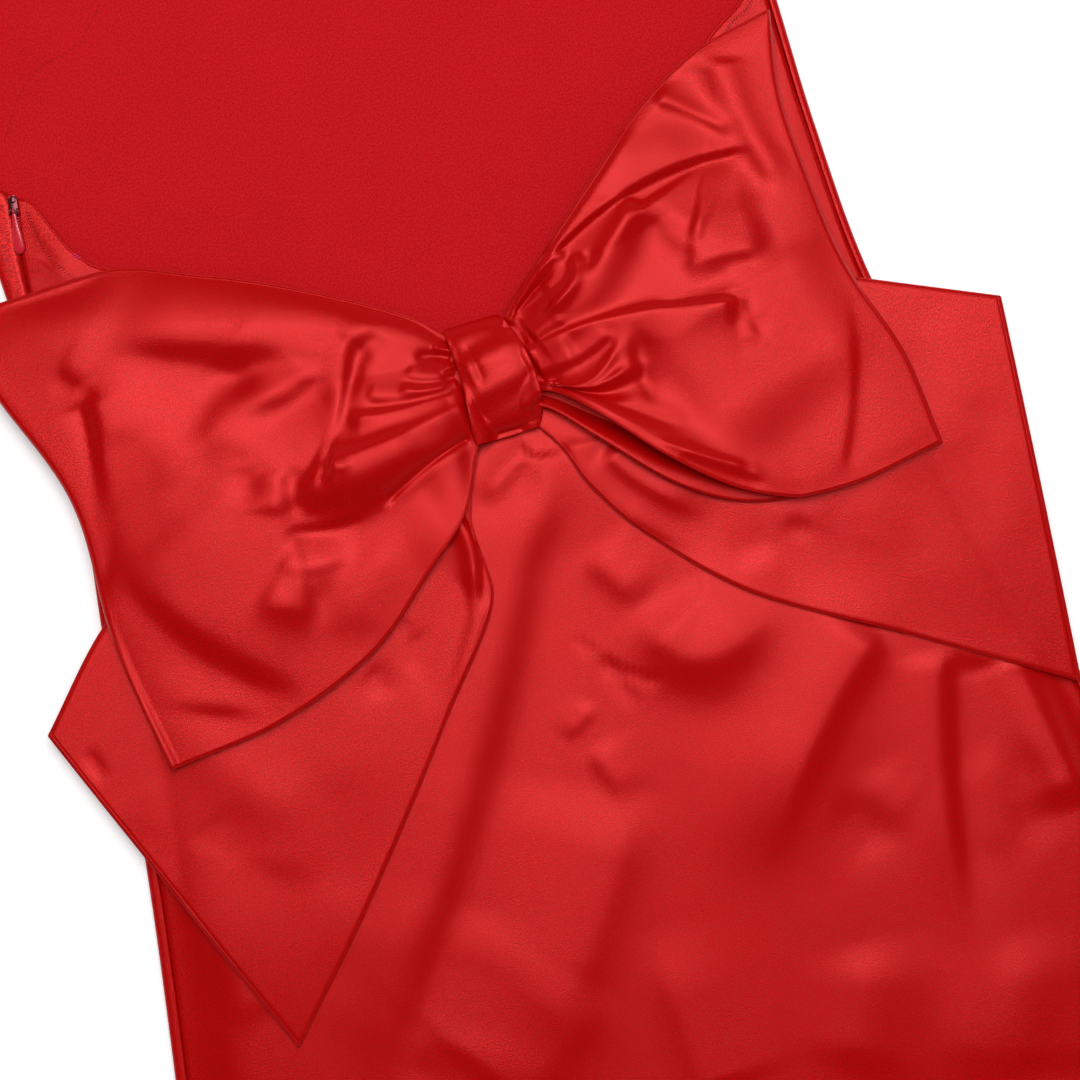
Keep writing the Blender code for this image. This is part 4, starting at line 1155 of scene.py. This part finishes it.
tape = cloth("zip_tape_cloth", tape_points(), 0.5, TAPE)
tooth_y = np.linspace(ZIP_FOOT_Y + 2, ZIP_TOP_Y + 2.5, 260)
tooth_z = np.where(tooth_y > WING_OVER_Y, COIL_Z + COIL_STEP, COIL_Z)
teeth = along_path(
    "zip_coil",
    [np.stack([seam_x(tooth_y, -1) + way * TOOTH_OUT, tooth_y, tooth_z], -1) for way in (-1, 1)],
    STITCH, COIL, Spacing=1.25, Length=0.7, Thickness=1.7, Turn=0.0)
slider = joined(
    "slider", [
        superball((4.4, 8.8, 1.5), (0, 0, 0), 0.45),
        superball((3.0, 3.4, 1.7), (0, 2.9, 0.25), 0.6),
        superball((0.9, 2.6, 3.2), (-1.7, -2.6, 1.5), 0.5),
        superball((0.9, 2.6, 3.2), (1.7, -2.6, 1.5), 0.5),
        superball((3.6, 0.85, 0.85), (0, -2.6, 2.15), 0.7),
    ], SLIDER_PLACE, SLIDER_METAL)
pull = joined("pull_tab_shape", [teardrop(), ring_shape(0.95, 0.28)], TAB_PLACE, LACQUER)


def keep(piece, slot="", *nodes, body="dress"):
    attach(piece, body)
    if nodes:
        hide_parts(*nodes)


keep(front, "crepe_inside", "front_panel")
keep(back, "satin", "back_panel")
keep(strap, "satin", "neck_strap")
keep(left_tail, "satin", "bow_tail_left")
keep(right_tail, "satin", "bow_tail_right")
keep(left_loop, "satin", "bow_loop_left")
keep(right_loop, "satin", "bow_loop_right")
keep(knot, "satin", "bow_knot")
keep(bow_rolls, "satin")
keep(back_rolls, "satin")
keep(overlock)
keep(stitches)
keep(tack)
keep(tape, "zip_red", "zip_tape")
keep(teeth, "zip_red", "zip_chain")
keep(slider, "slider_metal", "zip_slider")
keep(pull, "zip_red", "zip_pull", body="pull_tab")


# ---- studio
VIEW_TURN = math.radians(-17.0)
VIEW_HEIGHT = 1.160
VIEW_X, VIEW_Y = -1.4, -75.3

FLOOR_GREY = 0.93
FLOOR_GLOW = 0.12
CEILING = 0.06
HORIZON_BAND = (0.05, 0.25)
WORLD_LIGHT = 0.33
SOFTBOX_SIZE = 1.5
SOFTBOX_HEIGHT = 2.3
SOFTBOX_POWER = 50.0
SOFTBOX_SHIFT = (0.03, 0.67)    # to the view's right and up
WHITE = (1, 1, 1, 1)


def area_light(name, at, toward, size, power):
    lamp = bpy.data.lights.new(name, "AREA")
    lamp.shape = "SQUARE"
    lamp.size = size
    lamp.energy = power
    made = placed(name, lamp)
    made.location = at
    made.rotation_euler = (Vector(toward) - Vector(at)).to_track_quat("-Z", "Y").to_euler()


def floor_material():
    """Matte and pale, with a little glow for the camera alone."""
    made, tree, shader = material("studio_floor")
    fill(tree, shader, {
        "Base Color": (FLOOR_GREY, FLOOR_GREY, FLOOR_GREY, 1), "Roughness": 0.9, "Specular IOR Level": 0.0})
    dark = node(tree, "ShaderNodeEmission", {"Strength": 0.0})["Emission"]
    glow = node(tree, "ShaderNodeEmission", {"Color": WHITE, "Strength": FLOOR_GLOW})["Emission"]
    seen = node(tree, "ShaderNodeLightPath")["Is Camera Ray"]
    both = node(tree, "ShaderNodeAddShader", {0: shader.outputs["BSDF"], 1: mixed(tree, seen, dark, glow)})
    fill(tree, tree.nodes["Material Output"], {"Surface": both["Shader"]})
    return made


def build_floor():
    mesh = bpy.data.meshes.new("studio_floor")
    plane = bmesh.new()
    bmesh.ops.create_grid(plane, x_segments=1, y_segments=1, size=9.0)
    plane.to_mesh(mesh)
    plane.free()
    mesh.materials.append(floor_material())
    made = placed("studio_floor", mesh)
    made.location.z = -0.0004


def build_world():
    """White where the camera looks past the dress, soft fill for the cloth, and for reflections a pale
    backdrop near the horizon under a dim ceiling."""
    world = bpy.data.worlds.new("studio")
    SCENE.world = world
    world.use_nodes = True
    tree = world.node_tree

    def background(strength):
        return node(tree, "ShaderNodeBackground", {"Color": WHITE, "Strength": strength})["Background"]

    path = node(tree, "ShaderNodeLightPath")
    way = node(tree, "ShaderNodeTexCoord")["Generated"]
    height = node(tree, "ShaderNodeSeparateXYZ", {"Vector": way})["Z"]
    low = node(tree, "ShaderNodeMapRange", {
        "Value": height, "From Min": HORIZON_BAND[1], "From Max": HORIZON_BAND[0]},
        interpolation_type="SMOOTHSTEP")["Result"]
    ceiling = mixed(tree, low, background(CEILING), background(1.0))
    lit = mixed(tree, path["Is Glossy Ray"], background(WORLD_LIGHT), ceiling)
    seen = maths(tree, "MAXIMUM", path["Is Camera Ray"], path["Is Transmission Ray"])
    fill(tree, tree.nodes["World Output"], {"Surface": mixed(tree, seen, lit, background(1.0))})


aim = WAIST + Vector((VIEW_X * MM, VIEW_Y * MM, 0))
turn = Matrix.Rotation(VIEW_TURN, 3, "Z")
shift = turn @ Vector((*SOFTBOX_SHIFT, 0))
area_light("softbox", aim + shift + Vector((0, 0, SOFTBOX_HEIGHT)), aim, SOFTBOX_SIZE, SOFTBOX_POWER)
build_floor()
build_world()

camera_data = bpy.data.cameras.new("view")
camera_data.lens = 85
camera_data.sensor_width = 36
camera_data.dof.use_dof = False
camera = placed("view", camera_data)
camera.location = aim + Vector((0, 0, VIEW_HEIGHT))
camera.rotation_euler = (0, 0, VIEW_TURN)
SCENE.camera = camera
SCENE.view_settings.view_transform = "Standard"

bpy.context.view_layer.update()
